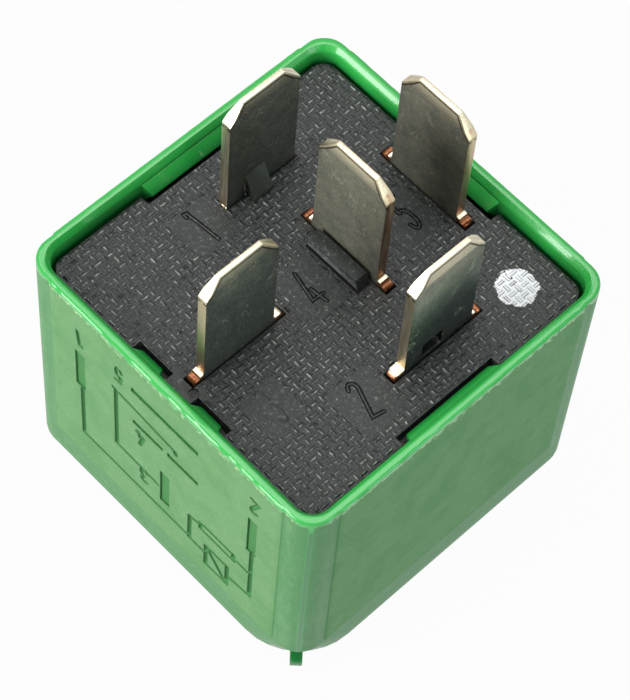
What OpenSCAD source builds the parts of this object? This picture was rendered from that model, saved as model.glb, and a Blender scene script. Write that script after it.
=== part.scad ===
// Plug-in changeover relay with five flat blades, standing on its closed end.
// Origin: centre of the closed end. +Z runs to the blade tips.
// The -Y wall carries the wiring diagram. Sizes are in millimetres.

/* [Case] */
// Width of the case across opposite flats
case_w = 28; // [25:0.5:36]
// Height of the case from its closed end to its rim
case_h = 25; // [23:0.5:34]
// Thickness of the side walls at the rim
wall_t = 0.95; // [0.7:0.05:1.4]
// Thickness of the closed end
floor_t = 1.2; // [0.8:0.1:2]
// Draw of the cavity's walls from the band down to the floor
cavity_draw = 0.45; // [0.3:0.05:0.6]
// Outside radius of the upright corners
corner_r = 1.9; // [1.5:0.1:2.4]
// Radius of the marked corner at the closed end
mark_r = 5.2; // [4:0.1:6]
// Height of the lower edge of the side panels
band_h = 4.5; // [3:0.1:6]
// Radius of the edge round the closed end
end_round = 1.75; // [1:0.05:2]
// Small outer edge at the rim
rim_edge = 0.15; // [0.1:0.05:0.25]
// Lead-in chamfer inside the rim, its width
lead_w = 0.35; // [0.2:0.05:0.5]
// Lead-in chamfer inside the rim, its height
lead_h = 0.55; // [0.3:0.05:1]
// Height that the side panels stand proud of the corner strips
panel_proud = 0.1; // [0.05:0.05:0.2]
// Width of a corner strip beside a side panel
strip_w = 2.6; // [2.4:0.1:4]
// Length of the moulding nib at one closed-end corner
nib_len = 0.9; // [0.3:0.05:0.95]
// Width of the moulding nib
nib_w = 0.95; // [0.6:0.05:1.4]
// Thickness of the moulding nib
nib_t = 0.9; // [0.5:0.1:1.2]
// Height of the underside of the moulding nib
nib_z = 0.8; // [0.5:0.1:1.5]

/* [Snap ramps] */
// Half width of a full snap ramp
ramp_half = 4.15; // [3:0.05:4.2]
// Reach of a snap ramp from the wall
ramp_reach = 0.75; // [0.5:0.05:0.9]
// Gap between the two short ramps on the diagram wall, half of it
ramp_split = 1.5; // [1.2:0.05:1.8]
// Height of the sloped top of a ramp
ramp_rise = 0.85; // [0.6:0.05:1.1]
// Height of the blunt edge and its slope back to the underside
ramp_nose = 0.95; // [0.6:0.05:1.2]
// Depth of the underside of a ramp below the rim
ramp_drop = 2.4; // [2.3:0.05:2.5]

/* [Base] */
// Depth of the base's face below the rim
base_drop = 1.4; // [1:0.1:2]
// Thickness of the base
base_t = 2.6; // [2.4:0.1:4]
// Gap between the base and the case walls
base_gap = 0.3; // [0.15:0.05:0.5]
// Radius of the base's corners
base_corner_r = 1.1; // [0.6:0.1:1.6]
// Gap between a snap ramp and its notch in the base
notch_gap = 0.3; // [0.15:0.05:0.4]
// Gap under a snap ramp down to the ledge of its notch
ledge_gap = 0.1; // [0.05:0.05:0.2]
// Thickness of the base that keeps the narrow blade slots
slot_neck_t = 0.8; // [0.6:0.1:1]
// Gap round a blade in its slot
slot_gap = 0.1; // [0.05:0.05:0.15]
// Height of the stiffening rib beside the middle blade
rib_h = 0.9; // [0.5:0.1:1.5]
// Length of the stiffening rib
rib_len = 4.9; // [3:0.1:6]
// Thickness of the stiffening rib
rib_t = 1.2; // [0.8:0.1:1.4]
// Gap between the rib and the middle blade's slot
rib_gap = 0.15; // [0.05:0.05:0.3]
// Radius of the small dimple on the tongue
dimple_r = 0.35; // [0.2:0.05:0.5]
// Distance of the dimple from the tongue's edge and from the middle of the base
dimple_in = 0.75; // [0.6:0.05:0.9]
// Distance of the yoke's pads from the middle of the base
pad_x = 4.5; // [4.2:0.1:4.7]
// Width of a pad
pad_w = 1.5; // [1:0.1:1.6]
// Length of the pads on the hinge side of the coil
pad_long = 3; // [2:0.1:3.4]
// Length of the pads on the other side of the coil
pad_short = 2; // [1.6:0.1:2.2]
// Distance of the pads on the hinge side from the coil's axis
pad_hinge = 1.8; // [1.6:0.1:2]
// Distance of the other pads from the coil's axis
pad_far = 1.2; // [1:0.1:1.4]

/* [Blades] */
// Width of a blade
blade_w = 6.3; // [4.8:0.1:6.5]
// Thickness of a blade
blade_t = 0.8; // [0.6:0.05:0.9]
// Height of a blade above the base
blade_h = 11.3; // [8:0.1:14]
// Width cut off each corner of a blade tip
tip_cut_w = 1.3; // [0.6:0.1:1.8]
// Height cut off each corner of a blade tip
tip_cut_h = 1.5; // [0.8:0.1:2.4]
// Depth of the bevel on each face of a blade tip
tip_bevel_t = 0.22; // [0.1:0.02:0.28]
// Height of the bevel on each face of a blade tip
tip_bevel_h = 1; // [0.5:0.1:1.6]
// Width of a blade across its shoulders
shoulder_w = 8.2; // [7.6:0.1:8.6]
// Height of the shoulders above the base
shoulder_h = 0.5; // [0.2:0.1:0.9]
// Corner cut on the outer end of each shoulder
shoulder_cut = 0.3; // [0.1:0.05:0.4]
// Depth below the base's top of the one blade whose shoulders stay hidden
shoulder_hide = 0.05; // [0.05:0.05:0.4]
// Depth of the shoulders sunk in the base
shoulder_sink = 1.8; // [1.2:0.1:2]
// Distance of the two side blades from the middle of the base
side_blade_x = 8.6; // [8.4:0.1:9.2]
// Offset of the two side blades along the base
side_blade_y = 2.4; // [1.8:0.1:3]
// Offset of the common blade along the base
common_blade_y = -7.6; // [-8.2:0.1:-7.2]
// Offset of the resting contact's blade along the base
resting_blade_y = 3.1; // [2.6:0.1:3.4]
// Offset of the working contact's blade along the base
working_blade_y = 10.6; // [10.2:0.05:10.8]
// Sideways offset of the two middle blades
middle_blade_x = -0.3; // [-0.5:0.1:0]
// Width of a stamped retaining lance
lance_w = 1.75; // [1.4:0.05:2.6]
// Reach of a retaining lance's free end from the blade
lance_out = 1; // [0.7:0.05:1.3]
// Height of a retaining lance above the base
lance_h = 2.4; // [1.8:0.1:3]
// Thickness of a retaining lance at its free end
lance_t = 0.5; // [0.35:0.05:0.6]
// Offset of a retaining lance from the middle of its blade
lance_shift = 0.65; // [0:0.05:0.8]
// Width of the leg that takes a coil wire
leg_w = 1.5; // [1.2:0.1:1.8]
// Length of that leg under the base
leg_len = 4.8; // [4.4:0.1:5]
// Width of a contact terminal's flat tail
carry_w = 4; // [3.6:0.1:4.2]
// Distance of the resting contact's tail from the middle of the base
carry_x = 7.75; // [7.6:0.05:7.9]
// Gap between the resting contact's tail and the case
carry_gap = 1.1; // [0.9:0.1:1.3]
// Width of the strip that leads round the coil
bridge_w = 2.6; // [2.2:0.1:3]
// Far edge of that strip along the base
bridge_y = 9; // [8.8:0.1:9.2]
// Reach of a foot past its contact's middle
foot_reach = 1.3; // [1.25:0.05:1.5]
// Reach of a foot beside its contact's middle
foot_side = 2; // [1.6:0.1:2.2]
// Gap between the common terminal's foot and the leaf spring
foot_gap = 0.9; // [0.7:0.1:1.2]

/* [Magnet] */
// Offset of the coil's axis along the base
coil_y = -1.2; // [-1.4:0.1:-0.8]
// Drop from the base to the top of the yoke
yoke_drop = 1.4; // [1.3:0.1:1.8]
// Thickness of the yoke
yoke_t = 1.4; // [1.2:0.05:1.5]
// Width of the yoke
yoke_w = 11; // [10:0.2:11.4]
// Outer face of the yoke's upright leg
yoke_y = -10.6; // [-10.8:0.05:-10.5]
// Reach of the yoke's flat leg past the coil's axis
yoke_reach = 4.4; // [3.4:0.1:4.6]
// Outside radius of the yoke's bend
yoke_bend_r = 1.8; // [1.5:0.1:2.4]
// Height of the hinge line and the core's pole above the closed end
hinge_z = 7.2; // [7:0.1:7.8]
// Thickness of a coil former flange
flange_t = 1.2; // [0.8:0.1:1.6]
// Width of a coil former flange
flange_w = 13.6; // [13:0.2:14]
// Radius of a coil former flange's corners
flange_r = 1.5; // [0.8:0.1:2.5]
// Wall of the coil former's tube
tube_t = 0.75; // [0.5:0.05:1]
// Gap between the coil former's tube and the core
tube_gap = 0.05; // [0.03:0.01:0.1]
// Thickness of the copper winding
winding_t = 3.1; // [2.4:0.1:3.2]
// Radius of the core's shaft
core_r = 2.5; // [2.2:0.1:2.7]
// Radius of the core's neck in the yoke
core_neck_r = 1.8; // [1.5:0.1:2]
// Radius of the core's pole disc
pole_r = 4.2; // [3.6:0.1:4.6]
// Thickness of the core's pole disc
pole_t = 1.2; // [1:0.1:1.4]
// Radius of the core's riveted head
core_head_r = 2.4; // [2.2:0.1:2.8]
// Thickness of the core's riveted head
core_head_t = 0.3; // [0.2:0.05:0.5]
// Radius of the winding's lead wires
lead_r = 0.15; // [0.12:0.01:0.2]
// Height of a lead wire's wrap on its leg
wrap_h = 1.05; // [0.8:0.05:1.2]

/* [Armature] */
// Thickness of the armature plate
arm_t = 1.4; // [1.2:0.1:1.5]
// Width of the armature plate
arm_w = 10; // [9:0.2:10.8]
// Reach of the armature plate past the coil's axis
arm_reach = 6.2; // [5.6:0.1:6.4]
// Gap between the pulled-in armature and the yoke's end
arm_gap = 0.05; // [0.04:0.01:0.1]
// Turn of the armature from pulled-in to rest, in degrees
arm_open = 3; // [2.5:0.1:3.2]
// Corner cut off the armature's hinge end
arm_cut = 0.85; // [0.6:0.05:1]
// Distance of the hinge line from the yoke's outer face
hinge_in = 0.3; // [0.2:0.05:0.4]
// Thickness of the leaf spring
leaf_t = 0.2; // [0.15:0.01:0.25]
// Width of the leaf spring at the yoke and armature
leaf_w = 5; // [4.6:0.1:5.6]
// Width of the leaf spring at the moving contact
leaf_end_w = 3.6; // [3.2:0.1:4.2]
// Reach of the leaf spring's end past the moving contact
leaf_tip = 1.5; // [1.4:0.05:1.7]
// Corner cut off the leaf spring's end
leaf_tip_cut = 0.5; // [0.3:0.05:0.7]
// Radius of the leaf spring's bend, at mid thickness
leaf_bend_r = 1.5; // [1.4:0.05:1.6]
// Height of the leaf spring's fixed leg above the hinge line
leaf_up = 5.9; // [5.4:0.1:7]
// Distance of the leaf's rivets from its middle
rivet_x = 1.6; // [1.3:0.1:1.7]
// Radius of the leaf's rivets
rivet_r = 0.6; // [0.5:0.05:0.65]
// Gap round a rivet in its hole
rivet_gap = 0.05; // [0.02:0.01:0.1]
// Extra radius of a rivet head over its shank
rivet_head = 0.5; // [0.4:0.05:0.6]
// Thickness of a rivet head
rivet_head_t = 0.4; // [0.3:0.05:0.5]
// Height of the leaf's fixing rivets above the hinge line
yoke_rivet_up = 3.8; // [3.4:0.1:4.2]
// Offset of the armature rivets from the coil's axis
arm_rivet_y = 1.2; // [0.8:0.1:1.6]

/* [Contacts] */
// Distance of the moving contact from the hinge line
contact_reach = 19.5; // [19.2:0.1:19.8]
// Radius of the contact heads
contact_r = 1.2; // [1:0.05:1.3]
// Thickness of the moving contact's heads
contact_t = 0.6; // [0.4:0.05:0.7]
// Radius of the contact shanks
shank_r = 0.6; // [0.45:0.05:0.7]
// Overtravel left between the moving and working contacts when pulled in
working_gap = 0.05; // [0.03:0.01:0.1]
// Gap between the moving and resting contacts at rest
resting_gap = 0.05; // [0.03:0.01:0.1]
// Thickness of the working contact's head
fixed_contact_t = 0.6; // [0.4:0.05:0.7]
// Thickness of the resting contact's head
rest_contact_t = 0.5; // [0.4:0.05:0.6]
// Thickness of a riveted-over shank end
closed_head_t = 0.25; // [0.15:0.05:0.35]
// Extra radius of a riveted-over end over its shank
closed_head = 0.35; // [0.25:0.05:0.4]

/* [Resistor] */
// Radius of the resistor's body
res_r = 1.15; // [0.9:0.05:1.25]
// Length of the resistor's body
res_len = 6.4; // [5.5:0.1:6.6]
// Length of a resistor's end cap
res_cap = 1.6; // [1.2:0.1:1.8]
// Step from a resistor's end caps down to its middle
res_waist = 0.12; // [0.08:0.02:0.2]
// Radius of the resistor's wires
res_wire_r = 0.3; // [0.25:0.01:0.4]
// Bend radius of the resistor's wires, at mid thickness
res_bend = 0.8; // [0.6:0.1:1]
// Offset of the resistor along the base
res_y = 8; // [7.8:0.1:8.1]
// Drop from the base to the resistor's axis
res_drop = 3; // [2.8:0.1:3.2]

/* [Show] */
// Sub-part to draw

/* [Hidden] */
$fn = 48;
e = 0.02;
half = case_w / 2;
skin = half - panel_proud;
in_half = half - wall_t;
in_r = base_corner_r + base_gap;
end_in_half = in_half - cavity_draw;
end_in_mark_r = mark_r - 0.8;
panel_half = half - strip_w;
base_top = case_h - base_drop;
base_bot = base_top - base_t;
base_half = in_half - base_gap;
ramp_under = case_h - ramp_drop;
ledge_z = ramp_under - ledge_gap;
notch_half = ramp_half + notch_gap;
notch_in = in_half - ramp_reach - notch_gap;
neck_top = base_bot + slot_neck_t;
blade_top = base_top + blade_h;
slot_w = blade_w + 2 * slot_gap;
slot_t = blade_t + 2 * slot_gap;
yoke_top = base_bot - yoke_drop;
yoke_under = yoke_top - yoke_t;
bobbin_top = yoke_under;
pole_bot = hinge_z;
bobbin_bot = pole_bot + pole_t;
winding_r = core_r + tube_gap + tube_t + winding_t;
arm_top = pole_bot - arm_gap;
hinge_y = yoke_y + hinge_in;
leaf_top = arm_top - arm_t;
leaf_bot = leaf_top - leaf_t;
leaf_mid = leaf_top - leaf_t / 2;
leaf_end_z = hinge_z + leaf_up;
contact_y = hinge_y + contact_reach;
fixed_low = leaf_top + contact_t + working_gap;
foot_low = fixed_low + fixed_contact_t;
mc_low = leaf_bot - contact_t;
rest_low = hinge_z - (contact_reach + contact_r) * sin(arm_open) - (hinge_z - mc_low) * cos(arm_open);
rest_top = rest_low - resting_gap;
rest_foot = rest_top - rest_contact_t;
rest_y = hinge_y + contact_reach * cos(arm_open) - (hinge_z - mc_low) * sin(arm_open);
strip_z = base_bot - 0.05 - blade_t;
carry_y = in_half - carry_gap;
tag_y = side_blade_y + blade_w / 2 - 0.8;
leg_low = base_bot - leg_len;

// Flat shape: a square of half width h with true round corners of radius r.
module round_square(h, r) {
    square([2 * h, 2 * (h - r)], center = true);
    square([2 * (h - r), 2 * h], center = true);
    for (x = [-1, 1], y = [-1, 1]) {
        translate([x * (h - r), y * (h - r)])
            circle(r = r);
    }
}

// Straight upright block with true round corners.
module round_block(h, r, z0, z1) {
    translate([0, 0, z0])
        linear_extrude(height = z1 - z0)
            round_square(h, r);
}

// Box between two opposite corners.
module span(a, b) {
    translate(a)
        cube([b[0] - a[0], b[1] - a[1], b[2] - a[2]]);
}

// Round bar along +Z.
module bar_z(x, y, z0, z1, r) {
    translate([x, y, z0])
        cylinder(r = r, h = z1 - z0);
}

// Upright flat plate drawn in the YZ plane, of width w along X.
module plate_x(x0, w) {
    translate([x0, 0, 0])
        rotate([90, 0, 90])
            linear_extrude(height = w)
                children();
}

// Upright flat plate drawn in the XZ plane, running from y0 toward +Y.
module plate_y(y0, w) {
    translate([0, y0 + w, 0])
        rotate([90, 0, 0])
            linear_extrude(height = w)
                children();
}

// ---- case ----------------------------------------------------------------

// Flat shape of the case: three corners of radius r, the marked one of radius m.
module case_shape(h, r, m) {
    polygon([
        [h - r, h],
        [r - h, h],
        [r - h, h - r],
        [-h, h - r],
        [-h, r - h],
        [r - h, r - h],
        [r - h, -h],
        [h - m, -h],
        [h - m, m - h],
        [h, m - h],
        [h, h - r],
        [h - r, h - r]
    ]);
    for (p = [[1, 1], [-1, 1], [-1, -1]]) {
        translate((h - r) * p)
            circle(r = r);
    }
    translate([h - m, m - h])
        circle(r = m);
}

// Upright block of the case's flat shape.
module case_block(h, r, m, z0, z1) {
    translate([0, 0, z0])
        linear_extrude(height = z1 - z0)
            case_shape(h, r, m);
}

// Thin slice of the rounded edge at the closed end, a degrees round from flat.
module end_slice(a) {
    inset = end_round * (1 - sin(a));
    z = end_round * (1 - cos(a));
    case_block(skin - inset, max(corner_r - inset, 0.2), mark_r - inset, z, z + e);
}

// Outer body: the marked corner pulls in toward the closed end.
module case_body() {
    r = corner_r;
    case_block(skin, r, r, band_h, case_h - rim_edge);
    hull() {
        case_block(skin, r, r, band_h - e, band_h);
        for (a = [0:30:90]) {
            end_slice(a);
        }
    }
    hull() {
        case_block(skin, r, r, case_h - rim_edge - e, case_h - rim_edge);
        case_block(skin - rim_edge, r - rim_edge, r - rim_edge, case_h - e, case_h);
    }
}

// One flat side panel that stands a little proud of the corner strips.
module side_panel() {
    span([in_half + 0.2, -panel_half, band_h], [half, panel_half, case_h - rim_edge]);
}

// Cavity: straight to the band's height, then drawn in to the floor.
module case_cavity() {
    case_block(in_half, in_r, in_r, band_h, case_h + 1);
    hull() {
        case_block(in_half, in_r, in_r, band_h, band_h + e);
        case_block(end_in_half, in_r, end_in_mark_r, floor_t, floor_t + e);
    }
    hull() {
        case_block(in_half, in_r, in_r, case_h - lead_h, case_h - lead_h + e);
        case_block(in_half + lead_w, in_r + lead_w, in_r + lead_w, case_h, case_h + e);
    }
}

// One snap ramp on the +X wall between y0 and y1.
module snap_ramp(y0, y1) {
    translate([0, y1, 0])
        rotate([90, 0, 0])
            linear_extrude(height = y1 - y0)
                polygon([
                    [in_half + wall_t / 2, ramp_under],
                    [in_half - 0.05, ramp_under],
                    [in_half - ramp_reach, ramp_under + ramp_nose],
                    [in_half, ramp_under + ramp_nose + ramp_rise],
                    [in_half + wall_t / 2, ramp_under + ramp_nose + ramp_rise]
                ]);
}

// Moulding nib that points outward at one closed-end corner.
module nib() {
    corner = (skin - mark_r) * sqrt(2) + mark_r;
    rotate([0, 0, -45])
        span([corner - 1.2, -nib_w / 2, nib_z], [corner + nib_len, nib_w / 2, nib_z + nib_t]);
}

module case() {
    color([0.36, 0.72, 0.40]) {
        difference() {
            union() {
                case_body();
                for (a = [0:90:270]) {
                    rotate([0, 0, a])
                        side_panel();
                }
                nib();
            }
            case_cavity();
        }
        for (a = [0, 90, 180]) {
            rotate([0, 0, a])
                snap_ramp(-ramp_half, ramp_half);
        }
        rotate([0, 0, -90]) {
            snap_ramp(ramp_split, ramp_half);
            snap_ramp(-ramp_half, -ramp_split);
        }
    }
}

// ---- base ----------------------------------------------------------------

// Slot through the base for one blade, drawn for a blade along Y.
module blade_slot(w) {
    span([-slot_t / 2, -w / 2, base_bot - 1], [slot_t / 2, w / 2, neck_top + 1]);
    pocket = shoulder_w / 2 + slot_gap;
    span([-slot_t / 2, -pocket, neck_top], [slot_t / 2, pocket, base_top + 1]);
}

// Ledge notch for a snap ramp on the +X side.
module notch(y0, y1) {
    span([notch_in, y0, ledge_z], [half, y1, case_h]);
}

module base() {
    color([0.26, 0.27, 0.27]) {
        difference() {
            union() {
                round_block(base_half, base_corner_r, base_bot, base_top);
                base_rib();
                yoke_pads();
            }
            for (a = [0, 90, 180]) {
                rotate([0, 0, a])
                    notch(-notch_half, notch_half);
            }
            rotate([0, 0, -90]) {
                notch(ramp_split - notch_gap, notch_half);
                notch(-notch_half, notch_gap - ramp_split);
            }
            for (s = [-1, 1]) {
                translate([s * side_blade_x, side_blade_y, 0])
                    blade_slot(slot_w);
            }
            translate([0, common_blade_y, 0])
                blade_slot(slot_w);
            for (y = [resting_blade_y, working_blade_y]) {
                translate([middle_blade_x, y, 0])
                    rotate([0, 0, 90])
                        blade_slot(slot_w);
            }
            bar_z(dimple_in, dimple_in - base_half, base_top - 0.2, base_top + 1, dimple_r);
        }
    }
}

// Stiffening rib on the diagram side of the middle blade.
module base_rib() {
    y1 = resting_blade_y - slot_t / 2;
    x0 = middle_blade_x - rib_len / 2 + 0.25;
    plate_y(y1 - rib_t, rib_t - rib_gap)
        polygon([
            [x0, base_top - e],
            [x0 + rib_len, base_top - e],
            [x0 + rib_len - 0.3, base_top + rib_h],
            [x0, base_top + rib_h]
        ]);
}

// One pad under the base, from y0 toward +Y.
module yoke_pad(x, y0, length) {
    span([x - pad_w / 2, y0, yoke_top], [x + pad_w / 2, y0 + length, base_bot + e]);
}

// Four pads under the base that the yoke sits against.
module yoke_pads() {
    for (x = [-pad_x, pad_x]) {
        yoke_pad(x, coil_y - pad_hinge - pad_long, pad_long);
        yoke_pad(x, coil_y + pad_far, pad_short);
    }
}

// ---- terminals -----------------------------------------------------------

// Blade outline in the plane, its shoulders ending at rise above the base's top.
module blade_outline(low, rise) {
    w = blade_w / 2;
    s = shoulder_w / 2;
    z1 = base_top + rise;
    c = shoulder_cut;
    polygon([
        [-w, low],
        [w, low],
        [w, neck_top],
        [s, neck_top],
        [s, z1 - c],
        [s - c, z1],
        [w + 0.1, z1],
        [w, z1 + 0.1],
        [w, blade_top - tip_cut_h],
        [w - tip_cut_w, blade_top],
        [tip_cut_w - w, blade_top],
        [-w, blade_top - tip_cut_h],
        [-w, z1 + 0.1],
        [-w - 0.1, z1],
        [-s + c, z1],
        [-s, z1 - c],
        [-s, neck_top],
        [-w, neck_top]
    ]);
}

// Whole blade along Y, centred on the origin, with both tip bevels.
module blade(low, rise = shoulder_h) {
    difference() {
        plate_x(-blade_t / 2, blade_t)
            blade_outline(low, rise);
        for (m = [0, 1]) {
            mirror([m, 0, 0])
                translate([0, shoulder_w, 0])
                    rotate([90, 0, 0])
                        linear_extrude(height = 2 * shoulder_w)
                            polygon([
                                [blade_t / 2, blade_top - tip_bevel_h],
                                [blade_t / 2 + 1, blade_top - tip_bevel_h],
                                [blade_t / 2 + 1, blade_top + 1],
                                [blade_t / 2 - tip_bevel_t, blade_top + 1],
                                [blade_t / 2 - tip_bevel_t, blade_top]
                            ]);
        }
    }
}

// Retaining lance: a tongue pushed out toward +X that stops the blade in the base.
module lance() {
    face = blade_t / 2;
    z0 = base_top + 0.12;
    z1 = base_top + lance_h;
    translate([0, lance_w / 2 - lance_shift, 0])
        rotate([90, 0, 0])
            linear_extrude(height = lance_w)
                polygon([
                    [face - 0.3, z1],
                    [face, z1],
                    [face + lance_out, z0 + lance_t],
                    [face + lance_out, z0],
                    [face + lance_out - lance_t * 0.9, z0],
                    [face - 0.3, z1 - lance_t * 1.5]
                ]);
}

// Window that the lance leaves in its blade, with a fine slit at each side.
module lance_window() {
    w = lance_w / 2 + 0.06;
    z0 = base_top + 0.4;
    z1 = base_top + lance_h - 0.45;
    span([-blade_t, -w - lance_shift, z0], [blade_t, w - lance_shift, z1]);
}

// Side terminal: blade, retaining lance and the narrow leg that takes the coil wire.
module coil_terminal(rise) {
    difference() {
        blade(base_bot - 0.4, rise);
        lance_window();
    }
    lance();
    span([-blade_t / 2, blade_w / 2 - leg_w, leg_low], [blade_t / 2, blade_w / 2, base_bot]);
}

module terminal_86() {
    color([0.72, 0.70, 0.66])
        translate([-side_blade_x, side_blade_y, 0])
            coil_terminal(-shoulder_hide);
}

module terminal_85() {
    color([0.72, 0.70, 0.66])
        translate([side_blade_x, side_blade_y, 0])
            mirror([1, 0, 0])
                coil_terminal(shoulder_h);
}

// Common terminal: its tail lies flat against the yoke's outer face.
module terminal_30() {
    y0 = yoke_y - blade_t;
    color([0.72, 0.70, 0.66]) {
        translate([0, common_blade_y, 0])
            blade(yoke_top + 0.3);
        span([-blade_t / 2, y0, yoke_top + 0.3], [blade_t / 2, common_blade_y, base_bot - 0.05]);
        span([-blade_t / 2, y0, leaf_end_z + foot_gap], [carry_w, yoke_y, base_bot - 0.15]);
    }
}

// Working contact terminal: blade, straight tail and a foot bent over the contact.
module terminal_87() {
    y0 = working_blade_y - blade_t / 2;
    x0 = middle_blade_x - carry_w / 2;
    color([0.72, 0.70, 0.66]) {
        translate([middle_blade_x, working_blade_y, 0])
            rotate([0, 0, 90])
                blade(base_bot - 0.4);
        span([x0, y0, foot_low], [x0 + carry_w, y0 + blade_t, base_bot]);
        difference() {
            span([x0, contact_y - foot_reach, foot_low], [x0 + carry_w, y0 + blade_t, foot_low + blade_t]);
            bar_z(0, contact_y, foot_low - 1, foot_low + blade_t + 1, shank_r + rivet_gap);
        }
    }
}

// Resting contact terminal: a strip led round the coil to the contact below.
module terminal_87a() {
    x0 = middle_blade_x - blade_w / 2;
    x1 = carry_x - carry_w;
    y0 = resting_blade_y - blade_t / 2;
    y1 = bridge_y - bridge_w;
    z0 = rest_foot - blade_t;
    z1 = strip_z + blade_t;
    color([0.72, 0.70, 0.66]) {
        translate([middle_blade_x, resting_blade_y, 0])
            rotate([0, 0, 90])
                blade(strip_z);
        span([x0, y0, strip_z], [x0 + blade_w, bridge_y, z1]);
        span([x0, y1, strip_z], [carry_x, bridge_y, z1]);
        span([x1, y1, strip_z], [carry_x, carry_y, z1]);
        span([x1, carry_y - blade_t, z0], [carry_x, carry_y, z1]);
        difference() {
            union() {
                span([x1, rest_y - foot_reach, z0], [carry_x, carry_y, rest_foot]);
                span([-foot_side, rest_y - foot_reach, z0], [carry_x, rest_y + foot_reach, rest_foot]);
            }
            bar_z(0, rest_y, z0 - 1, rest_foot + 1, shank_r + rivet_gap);
        }
    }
}

// ---- magnet --------------------------------------------------------------

module yoke() {
    y0 = yoke_y;
    y1 = coil_y + yoke_reach;
    r = yoke_bend_r;
    color([0.55, 0.56, 0.58])
        difference() {
            plate_x(-yoke_w / 2, yoke_w) {
                difference() {
                    union() {
                        translate([y0, hinge_z + arm_gap])
                            square([yoke_t, yoke_top - r - hinge_z - arm_gap]);
                        translate([y0 + r, yoke_under])
                            square([y1 - y0 - r, yoke_t]);
                        intersection() {
                            translate([y0 + r, yoke_top - r])
                                circle(r = r);
                            translate([y0, yoke_top - r])
                                square([r, r]);
                        }
                    }
                    translate([y0 + yoke_t, yoke_under - 2])
                        square([r - yoke_t + 0.1, 2]);
                }
            }
            bar_z(0, coil_y, yoke_under - 1, yoke_top + 1, core_neck_r + rivet_gap);
            for (s = [-1, 1]) {
                translate([s * rivet_x, y0 - 1, hinge_z + yoke_rivet_up])
                    rotate([-90, 0, 0])
                        cylinder(r = rivet_r + rivet_gap, h = yoke_t + 2);
            }
        }
}

module core() {
    color([0.62, 0.62, 0.64]) {
        bar_z(0, coil_y, pole_bot, bobbin_bot, pole_r);
        bar_z(0, coil_y, bobbin_bot - e, bobbin_top, core_r);
        bar_z(0, coil_y, bobbin_top - e, yoke_top + e, core_neck_r);
        bar_z(0, coil_y, yoke_top, yoke_top + core_head_t, core_head_r);
    }
}

module bobbin() {
    color([0.88, 0.86, 0.80])
        translate([0, coil_y, 0])
            difference() {
                union() {
                    round_block(flange_w / 2, flange_r, bobbin_bot, bobbin_bot + flange_t);
                    round_block(flange_w / 2, flange_r, bobbin_top - flange_t, bobbin_top);
                    bar_z(0, 0, bobbin_bot, bobbin_top, core_r + tube_gap + tube_t);
                }
                bar_z(0, 0, bobbin_bot - 1, bobbin_top + 1, core_r + tube_gap);
            }
}

// Straight length of wire between two points.
module wire(a, b, r) {
    d = b - a;
    len = norm(d);
    translate(a)
        rotate([0, acos(d[2] / len), atan2(d[1], d[0])])
            cylinder(r = r, h = len, $fn = 16);
}

module coil_winding() {
    z0 = bobbin_bot + flange_t;
    z1 = bobbin_top - flange_t;
    x1 = side_blade_x - blade_t / 2;
    zw = z1 - 4 * lead_r;
    x0 = winding_r - 1.7;
    y0 = coil_y + 3.3;
    x2 = x1 - lead_r;
    color([0.72, 0.38, 0.16]) {
        difference() {
            bar_z(0, coil_y, z0, z1, winding_r);
            bar_z(0, coil_y, z0 - 1, z1 + 1, core_r + tube_gap + tube_t);
        }
        for (s = [-1, 1]) {
            wire([s * x0, y0, zw], [s * x2, tag_y, zw], lead_r);
            wire([s * x2, tag_y, zw - lead_r], [s * x2, tag_y, zw - lead_r + wrap_h], lead_r);
        }
    }
}

// ---- armature ------------------------------------------------------------

// Puts the pulled-in shapes at their rest angle about the hinge line.
module at_rest() {
    translate([0, hinge_y, hinge_z])
        rotate([-arm_open, 0, 0])
            translate([0, -hinge_y, -hinge_z])
                children();
}

module armature() {
    y1 = coil_y + arm_reach;
    color([0.50, 0.51, 0.53])
        at_rest()
            difference() {
                plate_x(-arm_w / 2, arm_w)
                    polygon([
                        [hinge_y, arm_top],
                        [hinge_y, leaf_top + arm_cut],
                        [hinge_y + arm_cut, leaf_top],
                        [y1, leaf_top],
                        [y1, arm_top]
                    ]);
                for (s = [-1, 1]) {
                    bar_z(s * rivet_x, coil_y + arm_rivet_y, leaf_top - 1, arm_top + 1, rivet_r + rivet_gap);
                }
            }
}

// Flat run of the leaf: wide under the armature, narrower at the contact.
module leaf_run(y0) {
    y1 = coil_y + arm_reach;
    y2 = contact_y + leaf_tip;
    w = leaf_w / 2;
    v = leaf_end_w / 2;
    c = leaf_tip_cut;
    linear_extrude(height = leaf_t)
        difference() {
            polygon([
                [-w, y0],
                [w, y0],
                [w, y1 - 1],
                [v, y1 + 0.6],
                [v, y2 - c],
                [v - c, y2],
                [c - v, y2],
                [-v, y2 - c],
                [-v, y1 + 0.6],
                [-w, y1 - 1]
            ]);
            translate([0, contact_y])
                circle(r = shank_r + rivet_gap);
            for (s = [-1, 1]) {
                translate([s * rivet_x, coil_y + arm_rivet_y])
                    circle(r = rivet_r + rivet_gap);
            }
        }
}

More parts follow.
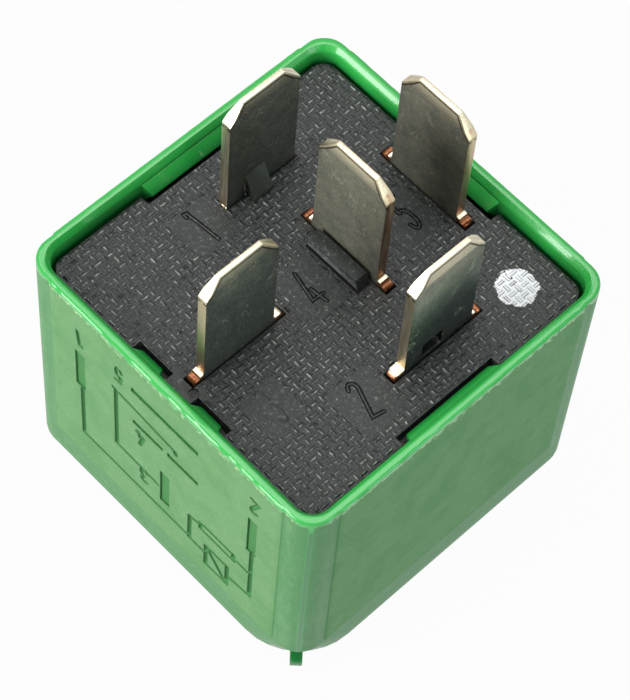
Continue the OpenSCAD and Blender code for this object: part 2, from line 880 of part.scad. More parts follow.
// Leaf spring: upright leg on the yoke, round bend, then the run to the contact.
module contact_spring() {
    r = leaf_bend_r;
    cy = yoke_y - leaf_t / 2 + r;
    d = hinge_z - leaf_mid;
    cz = hinge_z - (d - r) / cos(arm_open) + (cy - hinge_y) * tan(-arm_open);
    turn = 90 - arm_open;
    run_y = hinge_y + (cy - hinge_y) * cos(arm_open) - (cz - hinge_z) * sin(arm_open);
    color([0.80, 0.62, 0.36]) {
        difference() {
            span([-leaf_w / 2, yoke_y - leaf_t, cz], [leaf_w / 2, yoke_y, leaf_end_z]);
            for (s = [-1, 1]) {
                translate([s * rivet_x, yoke_y - 1, hinge_z + yoke_rivet_up])
                    rotate([-90, 0, 0])
                        cylinder(r = rivet_r + rivet_gap, h = 2);
            }
        }
        translate([-leaf_w / 2, cy, cz])
            rotate([90, 0, 90])
                rotate([0, 0, 180])
                    rotate_extrude(angle = turn, $fn = 96)
                        translate([r - leaf_t / 2, 0])
                            square([leaf_t, leaf_w]);
        at_rest()
            translate([0, 0, leaf_bot])
                leaf_run(run_y - e);
    }
}

module armature_rivets() {
    y = coil_y + arm_rivet_y;
    color([0.66, 0.66, 0.68])
        at_rest()
            for (s = [-1, 1]) {
                bar_z(s * rivet_x, y, leaf_bot - rivet_head_t, leaf_bot, rivet_r + rivet_head);
                bar_z(s * rivet_x, y, leaf_bot - e, arm_top - 0.02, rivet_r);
            }
}

module moving_contact() {
    color([0.85, 0.85, 0.83])
        at_rest() {
            bar_z(0, contact_y, mc_low, leaf_bot, contact_r);
            bar_z(0, contact_y, leaf_bot - e, leaf_top + e, shank_r);
            bar_z(0, contact_y, leaf_top, leaf_top + contact_t, contact_r);
        }
}

module contact_no() {
    top = foot_low + blade_t;
    color([0.85, 0.85, 0.83]) {
        bar_z(0, contact_y, fixed_low, foot_low, contact_r);
        bar_z(0, contact_y, foot_low - e, top + e, shank_r);
        bar_z(0, contact_y, top, top + closed_head_t, shank_r + closed_head);
    }
}

module contact_nc() {
    low = rest_foot - blade_t;
    color([0.85, 0.85, 0.83]) {
        bar_z(0, rest_y, rest_foot, rest_top, contact_r);
        bar_z(0, rest_y, low - e, rest_foot + e, shank_r);
        bar_z(0, rest_y, low - closed_head_t, low, shank_r + closed_head);
    }
}

module spring_rivets() {
    z = hinge_z + yoke_rivet_up;
    y0 = yoke_y - leaf_t;
    color([0.66, 0.66, 0.68])
        for (s = [-1, 1]) {
            translate([s * rivet_x, 0, z])
                rotate([-90, 0, 0]) {
                    bar_z(0, 0, y0 - rivet_head_t, y0, rivet_r + rivet_head);
                    bar_z(0, 0, y0 - e, yoke_y + yoke_t + e, rivet_r);
                    bar_z(0, 0, yoke_y + yoke_t, yoke_y + yoke_t + closed_head_t, rivet_r + closed_head);
                }
        }
}

// ---- resistor ------------------------------------------------------------

module resistor_body() {
    z = base_bot - res_drop;
    color([0.80, 0.74, 0.58])
        translate([-res_len / 2, res_y, z])
            rotate([0, 90, 0]) {
                cylinder(r = res_r - res_waist, h = res_len);
                cylinder(r = res_r, h = res_cap);
                translate([0, 0, res_len - res_cap])
                    cylinder(r = res_r, h = res_cap);
            }
}

module resistor_leads() {
    z = base_bot - res_drop;
    x1 = side_blade_x;
    y1 = side_blade_y + blade_w / 2;
    b = res_bend;
    color([0.78, 0.78, 0.78])
        for (s = [-1, 1]) {
            wire([s * res_len / 2, res_y, z], [s * (x1 - b), res_y, z], res_wire_r);
            wire([s * x1, res_y - b, z], [s * x1, y1, z], res_wire_r);
            translate([s * (x1 - b), res_y - b, z])
                rotate([0, 0, s > 0 ? 0 : 90])
                    rotate_extrude(angle = 90, $fn = 48)
                        translate([b, 0])
                            circle(r = res_wire_r, $fn = 16);
        }
}

case();
base();
terminal_86();
terminal_85();
terminal_30();
terminal_87();
terminal_87a();
yoke();
core();
bobbin();
coil_winding();
armature();
contact_spring();
armature_rivets();
moving_contact();
contact_no();
contact_nc();
spring_rivets();
resistor_body();
resistor_leads();
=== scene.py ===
"""Looks of a sealed plug-in changeover relay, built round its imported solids.

The relay stands on its closed end: +Z runs to the blade tips, and the -Y wall
carries the sunk wiring diagram. Sizes are in millimetres until a piece is made.
"""
import logging
import math
import random
from dataclasses import dataclass
from enum import Enum
from functools import partialmethod
from typing import Callable, Iterable, NamedTuple, Sequence

import bmesh
import bpy
from mathutils import Matrix, Vector


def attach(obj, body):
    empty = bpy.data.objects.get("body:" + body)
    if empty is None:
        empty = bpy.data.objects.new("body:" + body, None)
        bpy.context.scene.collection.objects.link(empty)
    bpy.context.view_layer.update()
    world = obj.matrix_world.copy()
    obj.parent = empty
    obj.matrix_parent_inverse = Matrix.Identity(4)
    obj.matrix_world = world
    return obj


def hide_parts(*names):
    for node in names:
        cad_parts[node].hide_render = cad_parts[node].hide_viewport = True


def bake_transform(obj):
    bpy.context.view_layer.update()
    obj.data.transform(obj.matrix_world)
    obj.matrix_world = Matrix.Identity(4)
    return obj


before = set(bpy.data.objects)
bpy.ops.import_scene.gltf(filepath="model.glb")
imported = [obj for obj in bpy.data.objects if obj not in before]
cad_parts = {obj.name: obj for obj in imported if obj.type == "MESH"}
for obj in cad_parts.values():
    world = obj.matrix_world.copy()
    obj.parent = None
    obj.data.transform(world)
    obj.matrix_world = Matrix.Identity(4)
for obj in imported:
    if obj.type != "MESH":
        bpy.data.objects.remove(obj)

MM = 0.001
ROOT = "root"
SEED = 7
LOG = logging.getLogger("relay")

Colour = tuple[float, float, float]
Point2 = tuple[float, float]
Point3 = tuple[float, float, float]
Zone = tuple[float, float, float, float]
Draft = bmesh.types.BMesh
Vert = bmesh.types.BMVert
Edge = bmesh.types.BMEdge
Material = bpy.types.Material
Object = bpy.types.Object
Socket = bpy.types.NodeSocket
Tree = bpy.types.NodeTree


class Axis(Enum):
    """The horizontal direction that a blade's wide side runs along."""

    X = "x"
    Y = "y"


# ---- shaders


def add_node(tree: Tree, kind: str, inputs: dict, **settings: object) -> bpy.types.Node:
    """Adds a shader node.

    Args:
        tree: The node tree.
        kind: The node's type.
        inputs: Values, signals or sockets by input name or number.
        settings: The node's properties, set first.

    Returns:
        The node.
    """
    made = tree.nodes.new(kind)
    for key, value in settings.items():
        setattr(made, key, value)
    for key, value in inputs.items():
        if isinstance(value, Signal):
            value = value.socket
        if isinstance(value, Socket):
            tree.links.new(value, made.inputs[key])
        else:
            made.inputs[key].default_value = value
    return made


class Signal:
    """A value socket that Python's operators turn into Math nodes."""

    def __init__(self, tree: Tree, socket: Socket) -> None:
        """Keeps the tree and the socket."""
        self.tree = tree
        self.socket = socket

    def math(self, operation: str, *others: "Signal | float", swap: bool = False) -> "Signal":
        """Adds one Math node.

        Args:
            operation: The node's operation.
            others: The other operands.
            swap: Puts this signal last.

        Returns:
            The node's result.
        """
        values = [*others, self] if swap else [self, *others]
        node = add_node(self.tree, "ShaderNodeMath", dict(enumerate(values)), operation=operation)
        return Signal(self.tree, node.outputs[0])

    # Each operator adds one Math node.
    __add__ = __radd__ = partialmethod(math, "ADD")
    __sub__ = partialmethod(math, "SUBTRACT")
    __rsub__ = partialmethod(math, "SUBTRACT", swap=True)
    __mul__ = partialmethod(math, "MULTIPLY")
    __abs__ = partialmethod(math, "ABSOLUTE")
    least = partialmethod(math, "MINIMUM")
    most = partialmethod(math, "MAXIMUM")

    def step(self, low: float, high: float) -> "Signal":
        """Ramps from 0 at low to 1 at high, smoothly, either way round.

        Args:
            low: The input that gives 0.
            high: The input that gives 1.

        Returns:
            A mask from 0 to 1.
        """
        values = {0: self, 1: low, 2: high, 3: 0.0, 4: 1.0}
        if low > high:
            values = {0: self, 1: high, 2: low, 3: 1.0, 4: 0.0}
        node = add_node(self.tree, "ShaderNodeMapRange", values, interpolation_type="SMOOTHSTEP")
        return Signal(self.tree, node.outputs[0])


class FinishGraph:
    """The node tree of one material, in millimetres of the piece's own coordinates."""

    def __init__(self, name: str) -> None:
        """Makes an empty material.

        Args:
            name: The material's name.
        """
        self.material = bpy.data.materials.new(name)
        self.material.use_nodes = True
        self.tree = self.material.node_tree
        self.tree.nodes.clear()
        place = self.node("ShaderNodeTexCoord", {})
        scaled = self.node("ShaderNodeVectorMath", {"Vector": place.outputs["Object"], "Scale": 1.0 / MM},
                           operation="SCALE")
        self.place = scaled.outputs[0]
        self.x, self.y, self.z = self.split(self.place)
        self.normal = place.outputs["Normal"]

    def node(self, kind: str, inputs: dict, **settings: object) -> bpy.types.Node:
        """Adds a node to the material's tree."""
        return add_node(self.tree, kind, inputs, **settings)

    def split(self, vector: Socket) -> tuple[Signal, Signal, Signal]:
        """Gives a vector's three values."""
        parts = self.node("ShaderNodeSeparateXYZ", {0: vector})
        return tuple(Signal(self.tree, out) for out in parts.outputs)

    def noise(self, size: float, detail: float = 3.0, stretch: Sequence[float] = (1, 1, 1),
              rough: float = 0.55) -> Signal:
        """Makes soft noise around 0.5.

        Args:
            size: The size of its features in millimetres.
            detail: Its octaves.
            stretch: How much longer its features are along each axis.
            rough: How strong its finer octaves are.

        Returns:
            The noise.
        """
        place = self.node("ShaderNodeMapping", {"Vector": self.place, "Scale": [1.0 / s for s in stretch]},
                          vector_type="POINT")
        made = self.node("ShaderNodeTexNoise", {"Vector": place.outputs[0], "Scale": 1.0 / size,
                                                "Detail": detail, "Roughness": rough})
        return Signal(self.tree, made.outputs[0])

    def mix(self, factor: Signal | float, first: object, second: object) -> Socket:
        """Mixes two colours.

        Args:
            factor: 0 gives the first, 1 the second.
            first: A colour or a colour socket.
            second: A colour or a colour socket.

        Returns:
            The mixed colour's socket.
        """
        first, second = ((*c, 1.0) if isinstance(c, tuple) else c for c in (first, second))
        return self.node("ShaderNodeMix", {0: factor, 6: first, 7: second}, data_type="RGBA").outputs[2]

    def coats(self, colour: object, *layers: tuple) -> Socket:
        """Lays colours over one another.

        Args:
            colour: The lowest colour or colour socket.
            layers: A mask and a colour each, from the lowest up.

        Returns:
            The last colour's socket.
        """
        for mask, tint in layers:
            colour = self.mix(mask, colour, tint)
        return colour

    def bump(self, height: Signal, depth: float, strength: float = 1.0) -> Socket:
        """Turns a height from 0 to 1 into a normal.

        Args:
            height: The height.
            depth: Its depth in millimetres.
            strength: How much of it shows.

        Returns:
            The normal's socket.
        """
        inputs = {"Strength": strength, "Distance": depth * MM, "Height": height}
        return self.node("ShaderNodeBump", inputs).outputs[0]

    def close(self, colour: Socket, roughness: Signal | float, metallic: Signal | float = 0.0,
              normal: Socket | None = None, **fixed: Signal | float) -> Material:
        """Adds the surface and ends the tree.

        Args:
            colour: The base colour.
            roughness: The roughness.
            metallic: The metallic value.
            normal: The bumped normal.
            fixed: Other inputs by name, with _ for a space.

        Returns:
            The finished material.
        """
        inputs = {"Base Color": colour, "Roughness": roughness, "Metallic": metallic}
        inputs.update({key.replace("_", " "): value for key, value in fixed.items()})
        if normal is not None:
            inputs["Normal"] = normal
        surface = self.node("ShaderNodeBsdfPrincipled", inputs)
        self.node("ShaderNodeOutputMaterial", {0: surface.outputs[0]})
        return self.material


# ---- finishes


@dataclass(frozen=True)
class GreenMoulding:
    """The case's plastic: dull grained panels, smoother strips, a fresh bright rim, with painted shade
    inside and in the diagram's grooves, and painted glints on the flash.
    """

    panel: Colour = (0.165, 0.345, 0.15)
    strip: Colour = (0.075, 0.26, 0.085)
    rim: Colour = (0.03, 0.44, 0.07)
    # inner: painted shade, the inside walls below the rim darker than the rim
    inner: Colour = (0.012, 0.20, 0.04)
    worn: Colour = (0.34, 0.58, 0.31)
    # deep: a darker green for the mottling, and painted shade in the diagram's sunk lines and slots
    deep: Colour = (0.05, 0.22, 0.06)
    # pale speckles on the rim's ragged flash line, partly painted glints
    flash_and_glint: Colour = (0.50, 0.74, 0.36)
    wall: float = 13.5
    face: float = 14.0
    panel_edge: float = 11.37
    band_top: float = 4.5
    rim_line: float = 24.5
    rim_wander: float = 1.1

    def material(self) -> Material:
        """Makes the material.

        Returns:
            The material.
        """
        g = FinishGraph("green_moulding")
        fine = g.noise(0.13, 2.0)
        grain = g.noise(0.42, 3.0)
        far = abs(g.x).most(abs(g.y))
        near = abs(g.x).least(abs(g.y))
        outside = far.step(self.wall - 0.12, self.wall + 0.02)
        flat = near.step(self.panel_edge + 0.08, self.panel_edge - 0.08)
        over = g.z + (g.noise(0.7, 3.0) - 0.5) * self.rim_wander - self.rim_line
        on_strip = outside * over.step(0.05, -0.05)
        on_panel = on_strip * flat * g.z.step(self.band_top, self.band_top + 0.06)
        # the diagram's sunk lines and slots, darkened below as painted shade
        sunk = on_panel * far.step(self.face - 0.02, self.face - 0.07)
        streak = g.noise(1.1, 4.0, (1, 1, 5), 0.7).step(0.46, 0.74) * (1.0 - flat)
        scuff = g.noise(0.8, 5.0, rough=0.75).step(0.50, 0.74)
        # the ragged flash line along the rim, speckled with painted glints
        glint_ticks = over.step(-0.28, -0.05) * over.step(0.2, 0.0) * g.noise(0.4, 2.0).step(0.50, 0.60)
        colour = g.coats(
            self.rim,
            # painted shade: the inside below the rim line darkens to the inner colour
            (g.z.step(self.rim_line - 0.2, self.rim_line - 1.2) * (1.0 - outside), self.inner),
            (on_strip, self.strip),
            (on_panel, self.panel),
            ((scuff + streak) * on_strip * 0.2, self.worn),
            (g.noise(2.6, 4.0).step(0.38, 0.72) * on_strip * 0.3, self.deep),
            (fine.step(0.52, 0.72) * on_strip * 0.22, self.deep),
            (fine.step(0.46, 0.28) * on_strip * 0.16, self.worn),
            # painted shade in the diagram's sunk lines and slots
            (sunk * 0.85, self.deep),
            # painted glints on the ragged flash line
            (glint_ticks * outside * 0.7, self.flash_and_glint))
        roughness = 0.20 + on_panel * 0.30 + on_strip * 0.18 + fine * 0.06
        height = (fine * 0.35 + grain * 0.65) * (on_panel * 0.7 + 0.3)
        return g.close(colour, roughness, normal=g.bump(height, 0.08, 0.7), Specular_IOR_Level=0.28,
                       Coat_Weight=(1.0 - on_strip) * 0.55, Coat_Roughness=0.08)


@dataclass(frozen=True)
class DarkMoulding:
    """The base's filled plastic: nearly black, greyer in soft clouds, with painted highlight on the raised
    grain's crests and painted shade at their feet and in the moats.
    """

    body: Colour = (0.008, 0.010, 0.010)
    worn: Colour = (0.024, 0.029, 0.026)
    # crest: pale grain flecks, and painted highlight on the weave's ridge tops
    crest: Colour = (0.34, 0.36, 0.33)
    # painted shade: near black at the ridges' feet and in the moats
    valley_shade: Colour = (0.002, 0.002, 0.002)
    dust: Colour = (0.62, 0.60, 0.52)
    dot: Colour = (0.92, 0.93, 0.95)
    dot_centre: Point2 = (9.4, 9.5)
    dot_r: float = 1.5
    dot_wander: float = 0.9
    ground: float = 23.62
    name: str = "dark_moulding"
    marked: bool = True

    def material(self) -> Material:
        """Makes the material: with the weave and the dot where marked, else with sunk moats.

        Returns:
            The material.
        """
        g = FinishGraph(self.name)
        over = g.z - self.ground
        fine = g.noise(0.12, 3.0, rough=0.7)
        cloud = g.noise(2.0, 4.0).step(0.32, 0.72)
        roughness = 0.34 + fine * 0.2 + cloud * 0.06
        if self.marked:
            # painted shade: a dark outline at the foot of each ridge
            foot = over.step(0.0, 0.006) * over.step(0.05, 0.03)
            patchy = g.noise(0.45, 4.0, rough=0.7).step(0.42, 0.68)
            dx = g.x - self.dot_centre[0]
            dy = g.y - self.dot_centre[1]
            reach = (dx * dx + dy * dy).math("SQRT") + (g.noise(0.6, 4.0) - 0.5) * self.dot_wander
            inked = reach.step(self.dot_r + 0.04, self.dot_r - 0.04)
            # the ink leaves the painted shade at the ridges' feet showing
            inked = inked * g.noise(0.30, 3.0).step(0.30, 0.36) * (1.0 - foot * 0.75)
            # painted highlight: the ridge tops lighten to the crest grey, patch by patch
            layers = ((foot * 0.85, self.valley_shade), (over.step(0.02, 0.08) * patchy, self.crest),
                      (inked, self.dot))
            roughness = roughness + inked * 0.2
        else:
            mottle = g.noise(0.32, 3.0, rough=0.6)
            # painted shade: the moats round the figures and the groove at the rib's foot turn nearly black
            sunk = over.step(-0.02, -0.05) * over.step(-0.16, -0.14)
            layers = ((mottle.step(0.5, 0.3) * 0.7, self.body), (mottle.step(0.55, 0.75) * 0.3, self.crest),
                      (sunk * 0.95, self.valley_shade))
            roughness = roughness + sunk * 0.4
        colour = g.coats(
            self.body,
            (cloud * 0.4 + fine.step(0.3, 0.7) * 0.6, self.worn),
            (fine.step(0.52, 0.74) * 0.25, self.crest),
            *layers,
            (g.noise(0.16, 1.0).step(0.77, 0.80) * 0.8, self.dust))
        normal = g.bump(fine * 0.5 + g.noise(0.36, 2.0) * 0.5, 0.08, 0.8)
        return g.close(colour, roughness, normal=normal, Specular_IOR_Level=0.4)


@dataclass(frozen=True)
class TinnedBrass:
    """Tarnished tin plate on stamped brass, with bare coppery cut edges, painted shade low down, in folds,
    slots and the window, and painted highlight on tips and ears.
    """

    plate: Colour = (0.30, 0.29, 0.22)
    # tarnish: real tarnish, also used as painted shade on the lance
    tarnish: Colour = (0.095, 0.11, 0.10)
    # cream: the plate's pale flecks, scratches and drawn edge streaks, and painted highlight on tips, tip
    # edges and ear lips
    cream: Colour = (0.72, 0.66, 0.50)
    brass: Colour = (0.52, 0.43, 0.27)
    copper: Colour = (0.36, 0.13, 0.055)
    shade: Colour = (0.05, 0.035, 0.025)
    # night: painted shade and dark reflection, toward the base and on the dull blades' tips
    night: Colour = (0.022, 0.030, 0.036)
    # hollow: painted shade, near black inside the lance's window
    hollow: Colour = (0.003, 0.003, 0.004)
    name: str = "tinned_brass"
    wide: Axis = Axis.X
    middle: float = 0.0
    offset: float = 0.0
    # dull: tarnish, set higher on the blades facing away from the window as painted dark reflection
    dull: float = 0.5
    # fade: how strongly painted shade darkens the blade toward the base
    fade: float = 0.1
    raw: float = 0.2
    half: float = 3.15
    thick: float = 0.4
    base_top: float = 23.6
    tip: float = 34.9
    corner_run: float = 1.3
    corner_rise: float = 1.5
    coin: float = 1.0
    crown: float = 2.6
    window_reach: float = 2.9
    window_top: float = 4.0
    ear_top: float = 0.62
    lip_line: float = 0.36

    def material(self) -> Material:
        """Makes the material.

        Returns:
            The material.
        """
        g = FinishGraph(self.name)
        nx, ny, nz = g.split(g.normal)
        lengthwise = self.wide is Axis.X
        along = abs((g.x if lengthwise else g.y) - self.middle)
        off = abs((g.y if lengthwise else g.x) - self.offset)
        cut = abs(nx if lengthwise else ny).step(0.55, 0.85)
        face = abs(ny if lengthwise else nx).step(0.80, 0.95)
        above = g.z - self.base_top
        under = self.tip - g.z
        blot = g.noise(1.3, 5.0, rough=0.65)
        fleck = g.noise(0.11, 3.0, rough=0.75)
        jitter = fleck - 0.5
        # painted shade: darker toward the base, as much as the fade gives
        down = g.z.step(self.tip, self.base_top) * self.fade
        hair = abs(g.noise(1.5, 2.0, (1, 1, 1.6)) - 0.5).step(0.012, 0.005)
        drawn = g.noise(0.35, 3.0, (1, 1, 9)).step(0.38, 0.62)
        bared = (above.step(2.2, 0.6) * self.raw * 1.2).most(drawn * self.raw).least(0.85)
        coined = nz.step(0.05, 0.12) * under.step(self.coin + 0.02, self.coin - 0.04)
        # painted highlight: up-facing tip flats, and the coined band of the less dull blades
        bright = (nz.step(0.5, 0.8) * 0.8).most(0.85 - self.dull * 0.8)
        # the window's inner walls, painted near black as shade
        pierced = (off.step(self.thick - 0.015, self.thick - 0.05)
                   * along.step(self.window_reach, self.window_reach - 0.2)
                   * above.step(self.window_top, self.window_top - 0.5))
        slant = ((self.half - along) * self.corner_rise + under * self.corner_run
                 - self.corner_run * self.corner_rise)
        inward = under.least(slant * (1.0 / math.hypot(self.corner_run, self.corner_rise))) + jitter * 0.08
        wide = off.step(0.1, 0.14) * under.step(self.crown, self.crown - 0.1)
        # painted shade: a dark fold line just inside the tip's edges
        fold = inward.step(0.14, 0.18) * inward.step(0.33, 0.27) * wide
        # painted highlight along the tip's edges, bare brass where the edges are raw
        lit_rubbed_edge = inward.step(0.16, 0.12) * wide
        # the shoulders beside the blade up to the ears' tops; below the base top they stay painted shade
        beyond = (along.step(self.half + 0.02, self.half + 0.08)
                  * above.step(self.ear_top, self.ear_top - 0.06))
        ear = beyond * above.step(-0.02, 0.0)
        # painted highlight: the ear's upper lip
        lip = ear * (above + jitter * 0.1).step(self.lip_line, self.lip_line + 0.06)
        colour = g.coats(
            self.plate,
            # tarnish blots, deepened by the blade's dull and by the painted shade toward the base
            ((blot * 1.2 + down + (self.dull - 0.6)).step(0.0, 1.0), self.tarnish),
            # painted shade: near black toward the base
            ((down + blot * 0.5 - 0.62).step(0.0, 0.45) * 0.8, self.night),
            (fleck.step(0.52, 0.72) * 0.42, self.cream),
            (fleck.step(0.48, 0.30) * 0.5, self.shade),
            (hair * g.noise(2.0, 1.0).step(0.57, 0.64) * 0.4, self.cream),
            (cut, g.coats(self.brass, (drawn, self.cream), (bared, self.copper))),
            # painted dark reflection: the coined tips of dull blades darken
            (coined * self.dull * 0.65, self.night),
            # painted highlight: cream on the coined tips
            (coined * bright, g.mix(fleck.step(0.4, 0.7), self.cream, self.brass)),
            # painted shade: the lance, bent out of the blade's plane, darkened
            (off.step(self.thick + 0.03, self.thick + 0.1) * 0.85, self.tarnish),
            # painted shade: the window's inner walls, near black and not metallic
            (pierced, self.hollow),
            # painted shade along the tip's fold
            (fold * 0.85, self.shade),
            # painted highlight on the tip's edges, partly bare brass
            (lit_rubbed_edge * 0.7, g.mix(self.raw, self.cream, self.brass)),
            # painted shade: the shoulders sunk in the slots
            (beyond, self.shade),
            (ear, g.mix(fleck.step(0.3, 0.7), self.copper, self.shade)),
            # painted highlight on the ears' lips
            (lip, self.cream))
        roughness = 0.27 + blot * 0.14 + face * 0.06
        metallic = (1.0 - face * 0.32 * (1.0 - coined)) * (1.0 - pierced)
        return g.close(colour, roughness, metallic, g.bump(blot * 0.35 + fleck * 0.65, 0.025, 0.8))


@dataclass(frozen=True)
class PlainMetal:
    """A hidden metal piece: drawn or stamped, softly grained."""

    name: str
    colour: Colour
    shade: Colour
    roughness: float = 0.34
    grain: Point3 = (6.0, 1.0, 1.0)

    def material(self) -> Material:
        """Makes the material.

        Returns:
            The material.
        """
        g = FinishGraph(self.name)
        grain = g.noise(0.12, 3.0, self.grain)
        colour = g.mix(g.noise(1.8, 3.0).step(0.35, 0.7), self.colour, self.shade)
        return g.close(colour, self.roughness + grain * 0.14, 1.0, g.bump(grain, 0.008, 0.6))


@dataclass(frozen=True)
class HiddenMoulding:
    """A hidden moulded or lacquered piece."""

    name: str
    colour: Colour
    shade: Colour
    roughness: float = 0.45

    def material(self) -> Material:
        """Makes the material.

        Returns:
            The material.
        """
        g = FinishGraph(self.name)
        colour = g.mix(g.noise(1.5, 4.0).step(0.3, 0.7), self.colour, self.shade)
        return g.close(colour, self.roughness, normal=g.bump(g.noise(0.2, 3.0), 0.012, 0.6))


@dataclass(frozen=True)
class WoundCopper:
    """Enamelled wire laid turn by turn."""

    colour: Colour = (0.62, 0.20, 0.06)
    # gap: painted shade in the crevices between turns
    gap: Colour = (0.12, 0.03, 0.01)
    pitch: float = 0.16

    def material(self) -> Material:
        """Makes the material.

        Returns:
            The material.
        """
        g = FinishGraph("wound_copper")
        turns = (g.z * (2.0 * math.pi / self.pitch)).math("SINE") * 0.5 + 0.5
        # painted shade between the turns
        colour = g.mix(turns.step(0.0, 0.35), self.gap, self.colour)
        return g.close(colour, 0.30 + g.noise(0.8) * 0.1, 1.0, g.bump(turns, 0.05, 0.8),
                       Coat_Weight=0.6, Coat_Roughness=0.15)


# ---- workshop


def only(geom: Iterable, kind: type) -> list:
    """Picks the elements of one kind."""
    return [item for item in geom if isinstance(item, kind)]


def placed(name: str, data: bpy.types.ID) -> Object:
    """Puts a new object with its data into the scene.

    Args:
        name: The object's name.
        data: A mesh, lamp or camera.

    Returns:
        The object.
    """
    made = bpy.data.objects.new(name, data)
    bpy.context.scene.collection.objects.link(made)
    return made


def bare(bm: Draft, name: str) -> Object:
    """Turns a millimetre mesh into a bare object in metres.

    Args:
        bm: The mesh, freed here.
        name: The object's name.

    Returns:
        The object.
    """
    bmesh.ops.scale(bm, vec=(MM,) * 3, verts=bm.verts)
    mesh = bpy.data.meshes.new(name)
    bm.to_mesh(mesh)
    bm.free()
    return placed(name, mesh)


class Workshop:
    """What every maker of pieces can do with millimetre meshes, and the names of all pieces made."""

    made: list[str] = []
    same_point = 1e-4
    flat_fold = math.radians(0.4)
    wire_mitre = 0.5
    wire_tip = 0.6
    wire_nose = 0.8

    def solid_of(self, node: str, merge: bool = True) -> Draft:
        """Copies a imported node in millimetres, its doubled points joined.

        Args:
            node: The node's name.
            merge: Whether flat faces are joined.

        Returns:
            The copy.
        """
        bm = bmesh.new()
        bm.from_mesh(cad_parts[node].data)
        bmesh.ops.scale(bm, vec=(1 / MM,) * 3, verts=bm.verts)
        bmesh.ops.remove_doubles(bm, verts=bm.verts, dist=self.same_point)
        if merge:
            bmesh.ops.dissolve_limit(bm, angle_limit=self.flat_fold, verts=bm.verts, edges=bm.edges)
        return bm

    def soften(self, bm: Draft, width: float, least: float = 28.0, segments: int = 2,
               where: Callable[[Edge], bool] | None = None) -> None:
        """Bevels the sharp edges.

        Args:
            bm: The mesh.
            width: The bevel's width.
            least: The smallest fold in degrees that is bevelled.
            segments: The bevel's segments.
            where: A test for the edges, or None for all of them.
        """
        limit = math.radians(least)
        edges = [e for e in bm.edges if len(e.link_faces) == 2 and e.calc_face_angle(0) > limit
                 and (where is None or where(e))]
        bmesh.ops.bevel(bm, geom=edges, offset=width, offset_type="OFFSET", affect="EDGES",
                        segments=segments, profile=0.5, material=-1, clamp_overlap=True)

    def block(self, low: Sequence[float], high: Sequence[float]) -> Draft:
        """Makes a block.

        Args:
            low: Its lowest corner.
            high: Its highest corner.

        Returns:
            The block.
        """
        size = Vector(high) - Vector(low)
        matrix = Matrix.Translation(Vector(low) + size / 2) @ Matrix.Diagonal((*size, 1.0))
        bm = bmesh.new()
        bmesh.ops.create_cube(bm, size=1.0, matrix=matrix)
        return bm

    def loft(self, rings: Sequence[Sequence[Vector]]) -> Draft:
        """Draws a skin through closed rings of one count, and caps both ends.

        Args:
            rings: The places of each ring, in order.

        Returns:
            The closed skin.
        """
        def edges_of(ring: list[Vert]) -> list[Edge]:
            """Gives the edges round a ring."""
            return [bm.edges.get(pair) for pair in zip(ring, ring[1:] + ring[:1])]

        bm = bmesh.new()
        loop = bmesh.ops.create_circle(bm, cap_ends=True, segments=len(rings[0]), radius=1.0)["verts"]
        for vert, spot in zip(loop, rings[0]):
            vert.co = spot
        for ring in rings[1:]:
            grown = bmesh.ops.extrude_edge_only(bm, edges=edges_of(loop))["geom"]
            fresh = set(only(grown, Vert))
            loop = [next(e.other_vert(v) for e in v.link_edges if e.other_vert(v) in fresh) for v in loop]
            for vert, spot in zip(loop, ring):
                vert.co = spot
        bmesh.ops.contextual_create(bm, geom=edges_of(loop))
        bmesh.ops.recalc_face_normals(bm, faces=bm.faces)
        return bm

    def wire(self, path: Sequence[Vector], radius: float, out: Vector, sides: int = 10) -> Draft:
        """Draws a round wire along a flat path, its corners mitred and its ends tapered.

        Args:
            path: The points of the path.
            radius: The wire's radius.
            out: The direction square to the path's plane.
            sides: How many sides the wire has.

        Returns:
            The closed wire.
        """
        runs = [(b - a).normalized() for a, b in zip(path, path[1:])]
        turns = [2 * math.pi * i / sides for i in range(sides)]
        rings = []
        for spot, first, last in zip(path, [runs[0], *runs], [*runs, runs[-1]]):
            ahead = (first + last).normalized()
            side = out.cross(ahead) / max(first.dot(ahead), self.wire_mitre)
            rings.append([spot + radius * (side * math.cos(a) + out * math.sin(a)) for a in turns])
        ends = ((path[0], rings[0], -runs[0]), (path[-1], rings[-1], runs[-1]))
        tips = [[spot + (point - spot) * self.wire_tip + way * radius * self.wire_nose for point in ring]
                for spot, ring, way in ends]
        return self.loft([tips[0], *rings, tips[1]])

    def cut(self, target: Object, tools: Iterable[Draft], operation: str = "DIFFERENCE") -> None:
        """Cuts or joins tools on a target, and applies it.

        Args:
            target: The object.
            tools: The millimetre meshes of the tools.
            operation: DIFFERENCE or UNION.
        """
        whole = bmesh.new()
        for bm in tools:
            part = bpy.data.meshes.new("part")
            bm.to_mesh(part)
            bm.free()
            whole.from_mesh(part)
            bpy.data.meshes.remove(part)
        tool = bare(whole, "tool")
        change = target.modifiers.new("cut", "BOOLEAN")
        change.operation = operation
        change.solver = "EXACT"
        change.use_self = True
        change.object = tool
        view = bpy.context.evaluated_depsgraph_get()
        result = bpy.data.meshes.new_from_object(target.evaluated_get(view))
        target.modifiers.clear()
        old = target.data
        target.data = result
        bpy.data.meshes.remove(old)
        bpy.data.objects.remove(tool)

